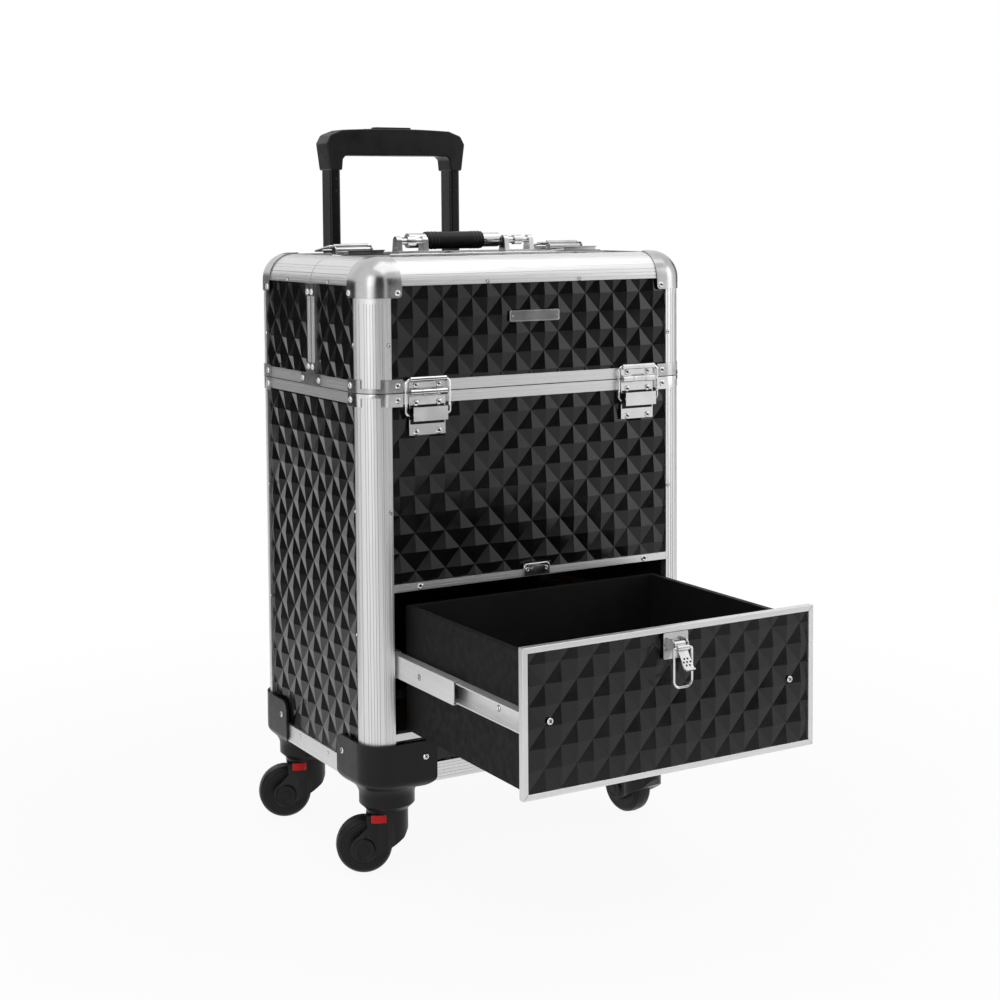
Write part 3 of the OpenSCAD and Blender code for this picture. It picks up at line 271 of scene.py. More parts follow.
def lining_cloth(name):
    """Dark short-pile lining with a fine cross weave."""
    shader = Shader(name, grey(0.02), roughness=0.9, specular=0.2)
    shader.set("Sheen Weight", 0.25)
    shader.set("Sheen Roughness", 0.4)
    shader.colour(shader.noise(700, detail=6, rough=0.7), grey(0.012), grey(0.03))
    shader.roughness(shader.noise(200), 0.8, 0.97)
    shader.bump(shader.noise(1600, detail=5), 0.0002, 0.6)
    return shader.material


plated = plated_metal("plated_metal", grey(0.6), grey(0.76), 0.1, 0.24)
# Rougher satin plating for the ball corners and the badge rim; its darker colour is painted shade
satin_and_shade = plated_metal("satin_plating", grey(0.42), grey(0.54), 0.22, 0.3)
# A darker copy of the plating: painted shade on the latch parts
plating_in_shade = plated_metal("shaded_plating", grey(0.4), grey(0.56), 0.08, 0.16)
nickel = plated_metal("nickel_plate", grey(0.2), grey(0.27), 0.26, 0.34)
looks = {
    "chrome": [plated],
    "black_panel": [pressed_sheet("pressed_sheet")],
    "black_board": [lined_board("lined_board")],
    "black_plastic": [moulded_plastic("moulded_black", grey(0.006), grey(0.035), 0.26, 0.4)],
    "black_tube": [coated_tube("coated_tube")],
    "wood_board": [fibre_board("fibre_board")],
    "tyre": [tyre_rubber("tyre_rubber")],
}
looks["aluminium"] = [
    drawn_metal("aluminium_" + a, a, grey(0.66), grey(0.76), 0.36, 0.46) for a in AXES
]
looks["slide_steel"] = [
    drawn_metal("slide_steel_" + a, a, grey(0.8), grey(0.88), 0.44, 0.54) for a in AXES
]
# Darker metal as painted shade in the post grooves
groove_shade = drawn_metal("groove_metal", "z", grey(0.3), grey(0.4), 0.4, 0.5)
red_plastic = moulded_plastic("moulded_red", (0.62, 0.008, 0.01), (0.8, 0.1, 0.08), 0.3, 0.42)
# Paler plastic for the bevelled tube edges: a painted highlight
edge_highlight = moulded_plastic("rubbed_edge", grey(0.09), grey(0.16), 0.3, 0.4)
lining = lining_cloth("lining_cloth")
# Near-black plastic as painted shade in dimples, slots, gaps and holes
recess_shade = moulded_plastic("dark_recess", grey(0.006), grey(0.01), 0.5, 0.6)
# Nodes with a look of their own
NODE_LOOK = {"front_lid_corners": [satin_and_shade], "rear_lid_corners": [satin_and_shade], "badge_plate": [nickel]}
# The latch parts take the darker plating, painted shade
for name in ("latch_bases", "latch_lever_left", "latch_lever_right", "latch_strikes", "drawer_latch_base"):
    NODE_LOOK[name] = [plating_in_shade]


# Finished skins over the solids

# Edge rounding in millimetres and its steps for each material slot
EDGE = {
    "aluminium": (0.4, 2),
    "chrome": (0.25, 2),
    "black_board": (0.5, 2),
    "black_plastic": (0.9, 3),
    "black_tube": (0.3, 2),
    "slide_steel": (0.25, 2),
    "wood_board": (0.3, 1),
    "tyre": (0.8, 3),
}
# Nodes whose edges are rounded otherwise than those of their slot
NODE_EDGE = {
    "handle_grip": (1.6, 2),
    "handle_button": (0.8, 3),
    "carry_grip": (0.8, 3),
    "handle_inner_tubes": (0.5, 2),
    "handle_middle_tubes": (0.5, 2),
}
# Nodes whose bevelled edges take a paler plastic as a painted highlight
EDGE_HIGHLIGHTED = ("handle_inner_tubes", "handle_middle_tubes")
# Edges over the first angle are rounded, and faces within the second are joined
SHARP = math.radians(28)
FLAT = math.radians(0.4)


def islands(bm):
    """Groups of connected faces."""
    seen = set()
    for first in bm.faces:
        if first in seen:
            continue
        group, queue = [], [first]
        seen.add(first)
        while queue:
            face = queue.pop()
            group.append(face)
            for edge in face.edges:
                for other in edge.link_faces:
                    if other not in seen:
                        seen.add(other)
                        queue.append(other)
        yield group


def spans(faces):
    """Size of a group of faces along x, y and z."""
    points = [v.co for f in faces for v in f.verts]
    return [max(p[k] for p in points) - min(p[k] for p in points) for k in range(3)]


def add_object(name, bm, materials, flat=False):
    """A mesh object from bm, smooth except across sharp edges, or with flat facets."""
    mesh = bpy.data.meshes.new(name)
    bm.to_mesh(mesh)
    bm.free()
    for material in materials:
        mesh.materials.append(material)
    obj = bpy.data.objects.new(name, mesh)
    scene.collection.objects.link(obj)
    if flat:
        mesh.shade_flat()
    else:
        mesh.shade_smooth()
        mesh.set_sharp_from_angle(angle=SHARP)
        normals = obj.modifiers.new("even_normals", "WEIGHTED_NORMAL")
        normals.keep_sharp = True
    return obj


def piece(name, bm, materials, body):
    """A detail that rides on a body."""
    bmesh.ops.recalc_face_normals(bm, faces=bm.faces)
    obj = add_object(name, bm, materials)
    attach(obj, body)


# Small forms, with sizes in millimetres and places in metres

def unit(axis):
    return Vector([1.0 if k == axis else 0.0 for k in range(3)])


X, Y, Z = (unit(k) for k in range(3))


def crosswise(axis):
    """Two directions at right angles to an axis and to each other."""
    u = axis.orthogonal().normalized()
    return u, axis.cross(u)


def cos_sin(degrees):
    return math.cos(math.radians(degrees)), math.sin(math.radians(degrees))


def lathe(bm, profile, place, axis, mat=0, count=20):
    """A turned form: the profile of (radius, height) starts and ends on the axis, or else at one point."""
    axis = Vector(axis).normalized()
    u, v = crosswise(axis)
    rings = []
    for radius, height in profile:
        middle = Vector(place) + axis * (height * MM)
        turns = count if radius > 0 else 1
        angles = [2 * math.pi * k / count for k in range(turns)]
        around = [radius * MM * (math.cos(a) * u + math.sin(a) * v) for a in angles]
        rings.append([bm.verts.new(middle + offset) for offset in around])
    for low, high in zip(rings, rings[1:]):
        for k in range(count):
            n = (k + 1) % count
            corners = [low[k % len(low)], low[n % len(low)], high[n % len(high)], high[k % len(high)]]
            bm.faces.new(list(dict.fromkeys(corners))).material_index = mat


def prism(bm, low, high, mat=0):
    """Joins two rings of points into a closed body."""
    ends = [[bm.verts.new(p) for p in ring] for ring in (low, high)]
    count = len(low)
    faces = [bm.faces.new(ends[0][::-1]), bm.faces.new(ends[1])]
    for k in range(count):
        n = (k + 1) % count
        faces.append(bm.faces.new((ends[0][k], ends[0][n], ends[1][n], ends[1][k])))
    for face in faces:
        face.material_index = mat


BEAD_SECTION = ((-0.5, -0.4), (-0.28, 1), (0.28, 1), (0.5, -0.4))


def bead(bm, start, end, out, width=0.8, height=0.16):
    """A fine raised line along a surface that faces out."""
    side = (end - start).cross(out).normalized() * (width * MM)
    rise = out.normalized() * (height * MM)
    prism(bm, *[[p + a * side + b * rise for a, b in BEAD_SECTION] for p in (start, end)])


def bar(bm, middle, along, across, out, size, mat=0):
    """A small block: size is its length, width and height over its middle point."""
    a, b = along * (size[0] * MM / 2), across * (size[1] * MM / 2)
    corners = [middle + i * a + j * b for i, j in ((-1, -1), (1, -1), (1, 1), (-1, 1))]
    prism(bm, corners, [p + out * (size[2] * MM) for p in corners], mat)


# Sections of small heads, as shares of their radius and height
RIVET_HEAD = ((0, 0), (1, 0), (1, 0.3), (0.86, 0.78), (0.66, 1), (0.5, 0.9), (0.36, 0.42), (0, 0.34))
RIVET_DIMPLE = ((0, 0.3), (0.38, 0.3), (0.38, 0.46), (0, 0.4))
# A ring round the foot of the head, in painted shade
RIVET_FOOT_SHADE = ((0, -0.2), (1.2, -0.2), (1.2, 0.07), (0.9, 0.09), (0, 0.09))
SCREW_HEAD = ((0, 0), (1, 0), (1, 0.35), (0.86, 0.72), (0.58, 0.9), (0, 0.95))
SLOT_L, SLOT_W, SLOT_FLOOR, SLOT_H = 1.15, 0.3, 0.6, 0.4


def head(bm, section, place, axis, radius, height, mat):
    lathe(bm, [(radius * r, height * h) for r, h in section], place, axis, mat)


def rivet(bm, place, axis, radius, height, mat=0, dark=1):
    """Tubular rivet: a rolled rim round a dimple; the dimple and a ring at the foot take the dark material
    as painted shade.
    """
    for section, tone in ((RIVET_HEAD, mat), (RIVET_DIMPLE, dark), (RIVET_FOOT_SHADE, dark)):
        head(bm, section, place, axis, radius, height, tone)


def screw(bm, place, axis, radius, height, mat, slot_shade_mat):
    """Pan-head screw with a cross slot drawn as dark bars in painted shade."""
    head(bm, SCREW_HEAD, place, axis, radius, height, mat)
    axis = Vector(axis).normalized()
    u, v = crosswise(axis)
    for along, across in ((u, v), (v, u)):
        base = Vector(place) + axis * (height * SLOT_FLOOR * MM)
        bar(bm, base, along, across, axis, (radius * SLOT_L, radius * SLOT_W, height * SLOT_H), slot_shade_mat)


BEND_STEPS = 6


def rounded_path(points, bends):
    """A path whose inner corners are rounded off at the given distances."""
    path = [points[0]]
    for before, corner, after, bend in zip(points, points[1:], points[2:], bends):
        a = corner + (before - corner).normalized() * bend
        b = corner + (after - corner).normalized() * bend
        pull = 0.25 * a + 0.5 * corner + 0.25 * b
        for k in range(BEND_STEPS + 1):
            t = k / BEND_STEPS
            path.append((1 - t) ** 2 * a + 2 * t * (1 - t) * pull + t ** 2 * b)
    return path + [points[-1]]


def wire(bm, path, radius, across, count=12):
    """A round wire along a flat path, sized in metres; across is at right angles to the path's plane."""
    rings = []
    for k, point in enumerate(path):
        along = (path[min(k + 1, len(path) - 1)] - path[max(k - 1, 0)]).normalized()
        side = along.cross(across)
        angles = [2 * math.pi * n / count for n in range(count)]
        around = [radius * (math.cos(a) * side + math.sin(a) * across) for a in angles]
        rings.append([bm.verts.new(point + offset) for offset in around])
    for low, high in zip(rings, rings[1:]):
        for k in range(count):
            n = (k + 1) % count
            bm.faces.new((low[k], low[n], high[n], high[k]))
    bm.faces.new(rings[0][::-1])
    bm.faces.new(rings[-1])


trees = {}
# Distances from which rays look for a surface
RAY, LONG_RAY = 20 * MM, 60 * MM


def surface(node, origin, direction):
    """The first point of a node's solid that a ray meets."""
    if node not in trees:
        mesh = nodes[node].data
        trees[node] = BVHTree.FromPolygons(
            [v.co for v in mesh.vertices], [tuple(p.vertices) for p in mesh.polygons]
        )
    return trees[node].ray_cast(Vector(origin), Vector(direction))[0]


def solid_copy(node):
    """The node's solid as a clean mesh, with each flat face in one piece."""
    bm = bmesh.new()
    bm.from_mesh(nodes[node].data)
    bmesh.ops.remove_doubles(bm, verts=bm.verts, dist=WELD)
    bmesh.ops.dissolve_limit(bm, angle_limit=FLAT, verts=bm.verts, edges=bm.edges)
    return bm


def corners_of(faces):
    points = [v.co for f in faces for v in f.verts]
    return [Vector([pick(p[k] for p in points) for k in range(3)]) for pick in (min, max)]


def solid_boxes(node):
    """Lowest and highest corner of each solid of a node."""
    bm = solid_copy(node)
    found = [corners_of(faces) for faces in islands(bm)]
    bm.free()
    return found


# Nodes whose small solids get finer heads: screws on the trim and below SCREW_TOP, and rivets elsewhere
HEADED = ("case_rivets", "front_lid_rivets", "rear_lid_rivets", "drawer_trim")
HEAD_SIZE, SCREW_TOP = 7 * MM, 160 * MM
HEAD_GROW = 1.35
# A head's height in millimetres: a share of its radius and a fixed part
HEAD_SHARE, HEAD_LEAST = 0.26, 0.45


def take_heads(bm):
    """Removes the rivet-sized solids and returns the place, axis and radius of a head for each."""
    heads, gone = [], []
    for faces in islands(bm):
        size = spans(faces)
        if max(size) > HEAD_SIZE:
            continue
        low, high = corners_of(faces)
        round_pairs = [abs(size[(k + 1) % 3] - size[(k + 2) % 3]) for k in range(3)]
        k = round_pairs.index(min(round_pairs))
        middle = (low + high) / 2
        sign = 1 if k == 2 or middle[k] > 0 else -1
        place = middle.copy()
        place[k] = high[k] if sign > 0 else low[k]
        radius = size[(k + 1) % 3] / 2 / MM
        heads.append((place, unit(k) * sign, radius * HEAD_GROW))
        gone.extend(faces)
    bmesh.ops.delete(bm, geom=gone, context="FACES")
    return heads


# Walls of the hinge tunnels: their height over the foot of the leaf, and how far each is raised
TUNNEL_WALLS = ((5, 8, 7.8), (20.8, 23.2, 4))
# What stands further out of the case's face than the leaf does belongs to the tunnel
LEAF_PLANE = 1.1 * MM


def short_tunnels(bm):
    """Leaves the foot of each lower hinge leaf clear of the tunnel."""
    foot = min(v.co.z for v in bm.verts)
    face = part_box("lower_posts")[1].y
    for vert in bm.verts:
        for low, high, rise in TUNNEL_WALLS:
            if abs(vert.co.y) > face + LEAF_PLANE and low * MM < vert.co.z - foot < high * MM:
                vert.co.z += rise * MM
                break


# Lower edges of the boots: height, depth and steps of their curve
BOOT_CURVE, BOOT_PULL, BOOT_RINGS = 8.4 * MM, 6 * MM, 6
# Radius where a boot meets its leg, and height of the hollow curve below
BOOT_LEG, BOOT_FLARE = 31 * MM, 11 * MM


def round_boots(bm):
    """Draws the lower edges of the corner blocks in towards the legs."""
    stems = [Vector(j["pos_m"]) for name, j in joints.items() if name.startswith("swivel_")]
    outer = max(abs(v.co.x) for v in bm.verts)
    clear = abs(stems[0].y) - BOOT_FLARE - 2 * MM
    under = min(v.co.z for v in bm.verts if abs(v.co.x) > outer - MM / 2 and abs(v.co.y) < clear)
    lowest = [v.co.xy for v in bm.verts if v.co.z < under - BOOT_FLARE - MM]
    radii = [(place - stem.xy).length for place in lowest for stem in stems]
    leg = max(r for r in radii if r < BOOT_LEG)
    for k in range(BOOT_RINGS):
        height = BOOT_CURVE * (k + 1) / BOOT_RINGS
        whole = bm.verts[:] + bm.edges[:] + bm.faces[:]
        level = (0, 0, under + height)
        bmesh.ops.bisect_plane(bm, geom=whole, dist=NEAR, plane_co=level, plane_no=(0, 0, 1))
    for vert in bm.verts:
        stem = min(stems, key=lambda s: (s.xy - vert.co.xy).length)
        away = vert.co.xy - stem.xy
        rise = (vert.co.z - under) / BOOT_CURVE
        if away.length > leg and rise < 0:
            share = 1 + (vert.co.z - under) / BOOT_FLARE
            vert.co.xy = stem.xy + away.normalized() * (leg + (BOOT_LEG - leg) * share ** 2)
        elif away.length > BOOT_LEG and rise < 1:
            pull = BOOT_PULL * (1 - rise) ** 2
            vert.co.xy -= away.normalized() * min(pull, away.length - BOOT_LEG)


RESHAPED = {"lower_hinge_leaves": short_tunnels, "boots": round_boots}


def skin(node):
    """The node's solid with rounded edges and its own material, shown in place of the node."""
    slot = slot_of[node]
    width, steps = NODE_EDGE.get(node, EDGE[slot])
    bm = solid_copy(node)
    heads = take_heads(bm) if node in HEADED else []
    if node in RESHAPED:
        RESHAPED[node](bm)
    creased = [e for e in bm.edges if len(e.link_faces) == 2 and e.calc_face_angle(0) > SHARP]
    edges = bmesh.ops.bevel(
        bm, geom=creased, offset=width * MM, segments=steps, profile=0.5, affect="EDGES", clamp_overlap=True
    )["faces"]
    materials = list(NODE_LOOK.get(node, looks[slot]))
    grained = len(materials) == 3
    for faces in islands(bm):
        size = spans(faces)
        for face in faces:
            face.material_index = size.index(max(size)) if grained else 0
    # Painted highlight: the bevel faces of these nodes take the paler plastic
    if node in EDGE_HIGHLIGHTED:
        materials.append(edge_highlight)
        for face in edges:
            face.material_index = 1
    for place, axis, radius in heads:
        metal = len(materials)
        height = HEAD_SHARE * radius + HEAD_LEAST
        base = place - axis * (height * MM)
        if node == "drawer_trim" or place.z < SCREW_TOP:
            screw(bm, base, axis, radius, height, metal, metal + 1)
        else:
            rivet(bm, base, axis, radius, height, metal, metal + 1)
    # Plating for the heads, and painted shade for their dimples, foot rings and slots
    if heads:
        materials += [plated, recess_shade]
    return stand_in(node, bm, materials)


def stand_in(node, bm, materials, flat=False):
    """Shows bm in place of a node."""
    obj = add_object(node + "_finish", bm, materials, flat)
    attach(obj, nodes[node]["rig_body"])
    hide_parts(node)
    return obj


# Panels: each is cut from an endless sheet of pressed diamonds

centre = (Vector(cad_low) + Vector(cad_high)) / 2
DIAMOND = {"x": 31.8 * MM, "y": 31.8 * MM, "z": 35.8 * MM}
# Where the sheet has a valley crossing on the panels that face the front or the left
CROSSING = {
    ("front_panel", "y", -1): {"x": -0.0508, "z": 0.3811},
    ("front_lid_panels", "y", -1): {"x": -0.0831, "z": 0.5275},
    ("drawer_front", "y", -1): {"x": -0.0671, "z": 0.2009},
    ("side_panels", "x", -1): {"y": -0.0011, "z": 0.4289},
    ("front_lid_panels", "x", -1): {"y": -0.0599, "z": 0.5026},
    ("rear_lid_panels", "x", -1): {"y": 0.0692, "z": 0.5018},
}


def pressed_board(bm, low, high, axis, levels, crossing):
    """A closed board with diamonds on its outer side, cut off at its four edges."""
    back, valley, peak = levels
    a, b = (k for k in range(3) if k != axis)
    rows = []
    for k in (a, b):
        half = DIAMOND["y" if axis == 2 and k == 1 else AXES[k]] / 2
        at = crossing.get(AXES[k], (low[k] + high[k]) / 2)
        first, last = math.floor((low[k] - at) / half), math.ceil((high[k] - at) / half)
        rows.append([(n, at + n * half) for n in range(first, last + 1)])
    sheet = bmesh.new()
    grid = {}
    for i, u in rows[0]:
        for j, v in rows[1]:
            place = Vector()
            place[a], place[b], place[axis] = u, v, peak if (i + j) % 2 else valley
            grid[i, j] = sheet.verts.new(place)
    for i, j in list(grid):
        if (i + 1, j + 1) in grid:
            ring = [grid[i, j], grid[i + 1, j], grid[i + 1, j + 1], grid[i, j + 1]]
            if (i + j) % 2:
                ring = ring[1:] + ring[:1]
            sheet.faces.new((ring[0], ring[1], ring[2]))
            sheet.faces.new((ring[0], ring[2], ring[3]))
    for k in (a, b):
        for corner, sign in ((low, -1), (high, 1)):
            whole = sheet.verts[:] + sheet.edges[:] + sheet.faces[:]
            bmesh.ops.bisect_plane(
                sheet, geom=whole, dist=NEAR, plane_co=corner, plane_no=unit(k) * sign, clear_outer=True
            )
    rim = [e for e in sheet.edges if e.is_boundary]
    walls = bmesh.ops.extrude_edge_only(sheet, edges=rim)["geom"]
    for vert in (v for v in walls if isinstance(v, bmesh.types.BMVert)):
        vert.co[axis] = back
    rim = [e for e in sheet.edges if e.is_boundary]
    for face in bmesh.ops.holes_fill(sheet, edges=rim, sides=0)["faces"]:
        face.material_index = 1
    bmesh.ops.recalc_face_normals(sheet, faces=sheet.faces)
    mesh = bpy.data.meshes.new("board")
    sheet.to_mesh(mesh)
    sheet.free()
    bm.from_mesh(mesh)
    bpy.data.meshes.remove(mesh)


def panel_skin(node):
    solid = solid_copy(node)
    bm = bmesh.new()
    for faces in islands(solid):
        low, high = corners_of(faces)
        size = high - low
        axis = min(range(3), key=lambda k: size[k])
        sign = 1 if (low + high)[axis] / 2 > centre[axis] else -1
        heights = Counter(round(v.co[axis], 6) for v in {v for f in faces for v in f.verts})
        levels = sorted((h for h, count in heights.most_common(3)), key=lambda h: sign * h)
        pressed_board(bm, low, high, axis, levels, CROSSING.get((node, AXES[axis], sign), {}))
    solid.free()
    inner = looks["black_board"][0] if node == "drawer_front" else lining
    return stand_in(node, bm, [*looks["black_panel"], inner], flat=True)


# Wire parts, bent with rounded corners

STAY_HOOK = 11 * MM
STAY_BENDS = [d * MM for d in (2.6, 3.8, 3.8, 2.6)]
BAIL_BENDS = [d * MM for d in (1.6, 5, 5, 1.6)]


def wire_skin(node):
    """Stays are open wires with hooked ends; the drawer's bail is a loop that meets inside its lever."""
    stay = node.endswith("stays")
    bm = bmesh.new()
    for low, high in solid_boxes(node):
        radius = (high.y - low.y) / 2
        y = low.y + radius
        left, right, foot, top = low.x + radius, high.x - radius, low.z + radius, high.z - radius
        corners = [(left, foot), (left, top), (right, top), (right, foot)]
        ends = [(left + STAY_HOOK, foot), (right - STAY_HOOK, foot)]
        if not stay:
            middle = ((left + right) / 2, top)
            corners, ends = [(left, top), (left, foot), (right, foot), (right, top)], [middle, middle]
        points = [Vector((a, y, b)) for a, b in (ends[0], *corners, ends[1])]
        wire(bm, rounded_path(points, STAY_BENDS if stay else BAIL_BENDS), radius, Y)
    bmesh.ops.recalc_face_normals(bm, faces=bm.faces)
    return stand_in(node, bm, looks["chrome"])


skins = {}
for node in sorted(nodes):
    if slot_of[node] == "black_panel":
        skins[node] = panel_skin(node)
    elif node in ("front_stays", "rear_stays", "drawer_latch_bail"):
        skins[node] = wire_skin(node)
    else:
        skins[node] = skin(node)

# Red tabs on the fork heads: the only parts of a fork that are about this high
TAB_HEIGHT, TAB_SLACK = 7.4 * MM, 0.5 * MM
TAB_BACK, TAB_UP = 8 * MM, 6.5 * MM
for node in (n for n in nodes if n.startswith("fork_")):
    mesh = skins[node].data
    mesh.materials.append(red_plastic)
    corner = node[len("fork_"):]
    stem, hub = (Vector(joints[kind + corner]["pos_m"]) for kind in ("swivel_", "axle_"))
    trail = Vector((hub.x - stem.x, hub.y - stem.y, 0)).normalized()
    bm = bmesh.new()
    bm.from_mesh(mesh)
    for faces in islands(bm):
        if abs(spans(faces)[2] - TAB_HEIGHT) < TAB_SLACK:
            for face in faces:
                face.material_index = 1
            for vert in {v for f in faces for v in f.verts}:
                vert.co += trail * TAB_BACK + Z * TAB_UP
    bm.to_mesh(mesh)
    bm.free()


# Main places of the case, from the frame

face_x, face_y, seam_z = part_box("lower_posts")[1]
post_r = min(high.x - low.x for low, high in solid_boxes("lower_posts"))
open_x, open_y = face_x - post_r, face_y - post_r
lid_low, lid_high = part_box("front_lid_frame")
lid_z, top_z = lid_low.z, lid_high.z
shoulder_z = top_z - post_r
rails = solid_boxes("lower_rails")
base_low = min(low.z for low, high in rails)
base_high = min(high.z for low, high in rails)
rim_h = min(high.z - low.z for low, high in rails if abs(high.z - seam_z) < MM)
bay_rails = sorted(solid_boxes("bay_rails"), key=lambda pair: pair[0].z)


# Fine raised lines along the rails

def ring_lines(bm, height):
    """Lines along the four faces of the case at one height."""
    for sign in (-1, 1):
        y = sign * face_y
        bead(bm, Vector((-open_x, y, height)), Vector((open_x, y, height)), sign * Y)
    for sign in (-1, 1):
        x = sign * face_x
        bead(bm, Vector((x, -open_y, height)), Vector((x, open_y, height)), sign * X)


BASE_LINES = 5
# Heights of the lines, as shares of the rim rails and of the drawer bay's rails
RIM_SHARES, BAY_SHARES = (0.3, 0.62), (0.35, 0.7)
BAY_LINE = (0.6, 0.12)
bm = bmesh.new()
for k in range(BASE_LINES):
    ring_lines(bm, base_low + (base_high - base_low) * (k + 1) / (BASE_LINES + 1))
for share in RIM_SHARES:
    ring_lines(bm, seam_z - rim_h * share)
for low, high in (bay_rails[0], bay_rails[-1]):
    for share in BAY_SHARES:
        z = low.z + (high.z - low.z) * share
        bead(bm, Vector((low.x, low.y, z)), Vector((high.x, low.y, z)), -Y, *BAY_LINE)
piece("case_rail_lines", bm, looks["aluminium"][:1], "case")

# Angles of the lines round the quarter-round top rails, from the side up
TOP_LINES = (19, 34, 41, 62)
SEAM_LINES = (0.33, 0.67)


def lid_lines(name, body, sign):
    """Lines on one lid's rails; sign is -1 for the front lid and 1 for the rear lid."""
    low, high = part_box(name)
    seam_y = high.y if sign < 0 else low.y
    bm = bmesh.new()
    for angle in TOP_LINES:
        side, up = cos_sin(angle)
        z = shoulder_z + post_r * up
        y = sign * (open_y + post_r * side)
        bead(bm, Vector((-open_x, y, z)), Vector((open_x, y, z)), sign * side * Y + up * Z)
        for flank in (-1, 1):
            x = flank * (open_x + post_r * side)
            bead(bm, Vector((x, sign * open_y, z)), Vector((x, seam_y, z)), flank * side * X + up * Z)
    for share in RIM_SHARES:
        z = lid_z + rim_h * share
        bead(bm, Vector((-open_x, sign * face_y, z)), Vector((open_x, sign * face_y, z)), sign * Y)
        for flank in (-1, 1):
            x = flank * face_x
            bead(bm, Vector((x, sign * open_y, z)), Vector((x, seam_y, z)), flank * X)
    seam_w = min(h.y - l.y for l, h in solid_boxes(name))
    for share in SEAM_LINES:
        y = seam_y + sign * seam_w * share
        bead(bm, Vector((-open_x, y, top_z)), Vector((open_x, y, top_z)), Z)
        for flank in (-1, 1):
            x = flank * face_x
            bead(bm, Vector((x, y, lid_z + rim_h)), Vector((x, y, shoulder_z)), flank * X)
    piece(body + "_rail_lines", bm, looks["aluminium"][:1], body)


for body, way in LIDS:
    lid_lines(body + "_frame", body, way)

# Grooves down the corner posts, by the angle round each post from its side face; each is a fine raised line
# in a darker metal, painted shade for the groove
GROOVES = (20, 33, 39, 46, 52, 58, 71)
GROOVE_LINE = (0.45, 0.06)
GROOVE_GAP, BALL_SKIRT = 2 * MM, 16 * MM


def post_grooves(name, body, low, high, ways):
    """Grooves in painted shade from one height to another on the front (-1) or rear (1) posts."""
    bm = bmesh.new()
    for way in ways:
        for flank in (-1, 1):
            for angle in GROOVES:
                c, s = cos_sin(angle)
                out = Vector((flank * c, way * s, 0))
                foot = Vector((flank * open_x, way * open_y, 0)) + out * post_r
                bead(bm, foot + Z * low, foot + Z * high, out, *GROOVE_LINE)
    piece(name, bm, [groove_shade], body)


post_grooves("case_post_grooves", "case", base_high, seam_z - GROOVE_GAP, (-1, 1))
for body, way in LIDS:
    post_grooves(body + "_post_grooves", body, lid_z + GROOVE_GAP, shoulder_z - BALL_SKIRT, (way,))

# Small rivets that hold the panels in the frame

PIN_R, PIN_H = 1.7, 0.8
POST_EDGE = 2.4 * MM
# Heights under the seam on the case, over its base, over the seam on a lid and over a lid's shoulder
UPPER_PINS, LOWER_PINS = 110 * MM, 226 * MM
BASE_PINS, LID_PINS, TOP_PINS = 13 * MM, 45 * MM, 2 * MM
# Distances from the middle of the case's side
BASE_PINS_Y, TOP_PINS_Y = 33 * MM, 47 * MM


def pins(name, body, places):
    bm = bmesh.new()
    for place, axis in places:
        rivet(bm, Vector(place), axis, PIN_R, PIN_H)
    piece(name, bm, [plated, recess_shade], body)


case_pins = []
for sign in (-1, 1):
    for drop in (UPPER_PINS, LOWER_PINS):
        z = seam_z - drop
        case_pins += [((sign * face_x, y, z), sign * X) for y in (-open_y, open_y)]
        case_pins.append(((sign * (open_x + POST_EDGE), face_y, z), Y))
    case_pins.append(((sign * (open_x + POST_EDGE), -face_y, seam_z - UPPER_PINS), -Y))
    case_pins += [((sign * face_x, y, base_low + BASE_PINS), sign * X) for y in (-BASE_PINS_Y, BASE_PINS_Y)]
pins("case_frame_rivets", "case", case_pins)
for body, way in LIDS:
    places = []
    for sign in (-1, 1):
        places += [
            ((sign * open_x / 3, way * face_y, shoulder_z + TOP_PINS), way * Y),
            ((sign * face_x, way * TOP_PINS_Y, shoulder_z + TOP_PINS), sign * X),
            ((sign * (open_x + POST_EDGE), way * face_y, seam_z + LID_PINS), way * Y),
            ((sign * face_x, way * open_y, seam_z + LID_PINS), sign * X),
        ]
    pins(body + "_frame_rivets", body, places)


# Slides: flush rivets on the rails

SLIDE_RIVET = 2.5
# Height of the heads in millimetres and their distances from the rail's front end in metres
SLIDES = (("slide_middle_rails", 0.3, (0.064, 0.17)), ("drawer_rails", 0.8, (0.053, 0.16)))
for node, height, places in SLIDES:
    bm = bmesh.new()
    for low, high in solid_boxes(node):
        sign = -1 if low.x < 0 else 1
        z = (low.z + high.z) / 2
        for back in places:
            start = Vector((sign * face_x, low.y + back, z))
            hit = surface(node, start, -sign * X)
            rivet(bm, hit, sign * X, SLIDE_RIVET, height)
    piece(node + "_rivets", bm, [plated, recess_shade], nodes[node]["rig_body"])


# Hinges: dark bars as painted shade in the gaps over and under the tunnel of each lower leaf

# Heights over the foot of the leaf where each gap starts and ends, its rise and its side margin
GAPS = ((10.2, 13.6), (26.4, 28.2))
GAP_RISE, GAP_MARGIN = 0.12, 1
LEAF_FOOT = 2 * MM
bm = bmesh.new()
for low, high in solid_boxes("lower_hinge_leaves"):
    out = Y if low.y > 0 else -Y
    x = (low.x + high.x) / 2
    leaf = surface("lower_hinge_leaves", (x, out.y * (face_y + RAY), low.z + LEAF_FOOT), -out)
    width = (high.x - low.x) / MM - 2 * GAP_MARGIN
    for start, end in GAPS:
        place = Vector((x, leaf.y, low.z + (start + end) / 2 * MM))
        bar(bm, place, X, Z, out, (width, end - start, GAP_RISE))
piece("hinge_gaps", bm, [recess_shade], "case")

# Drawer catch: a rolled edge and two studs

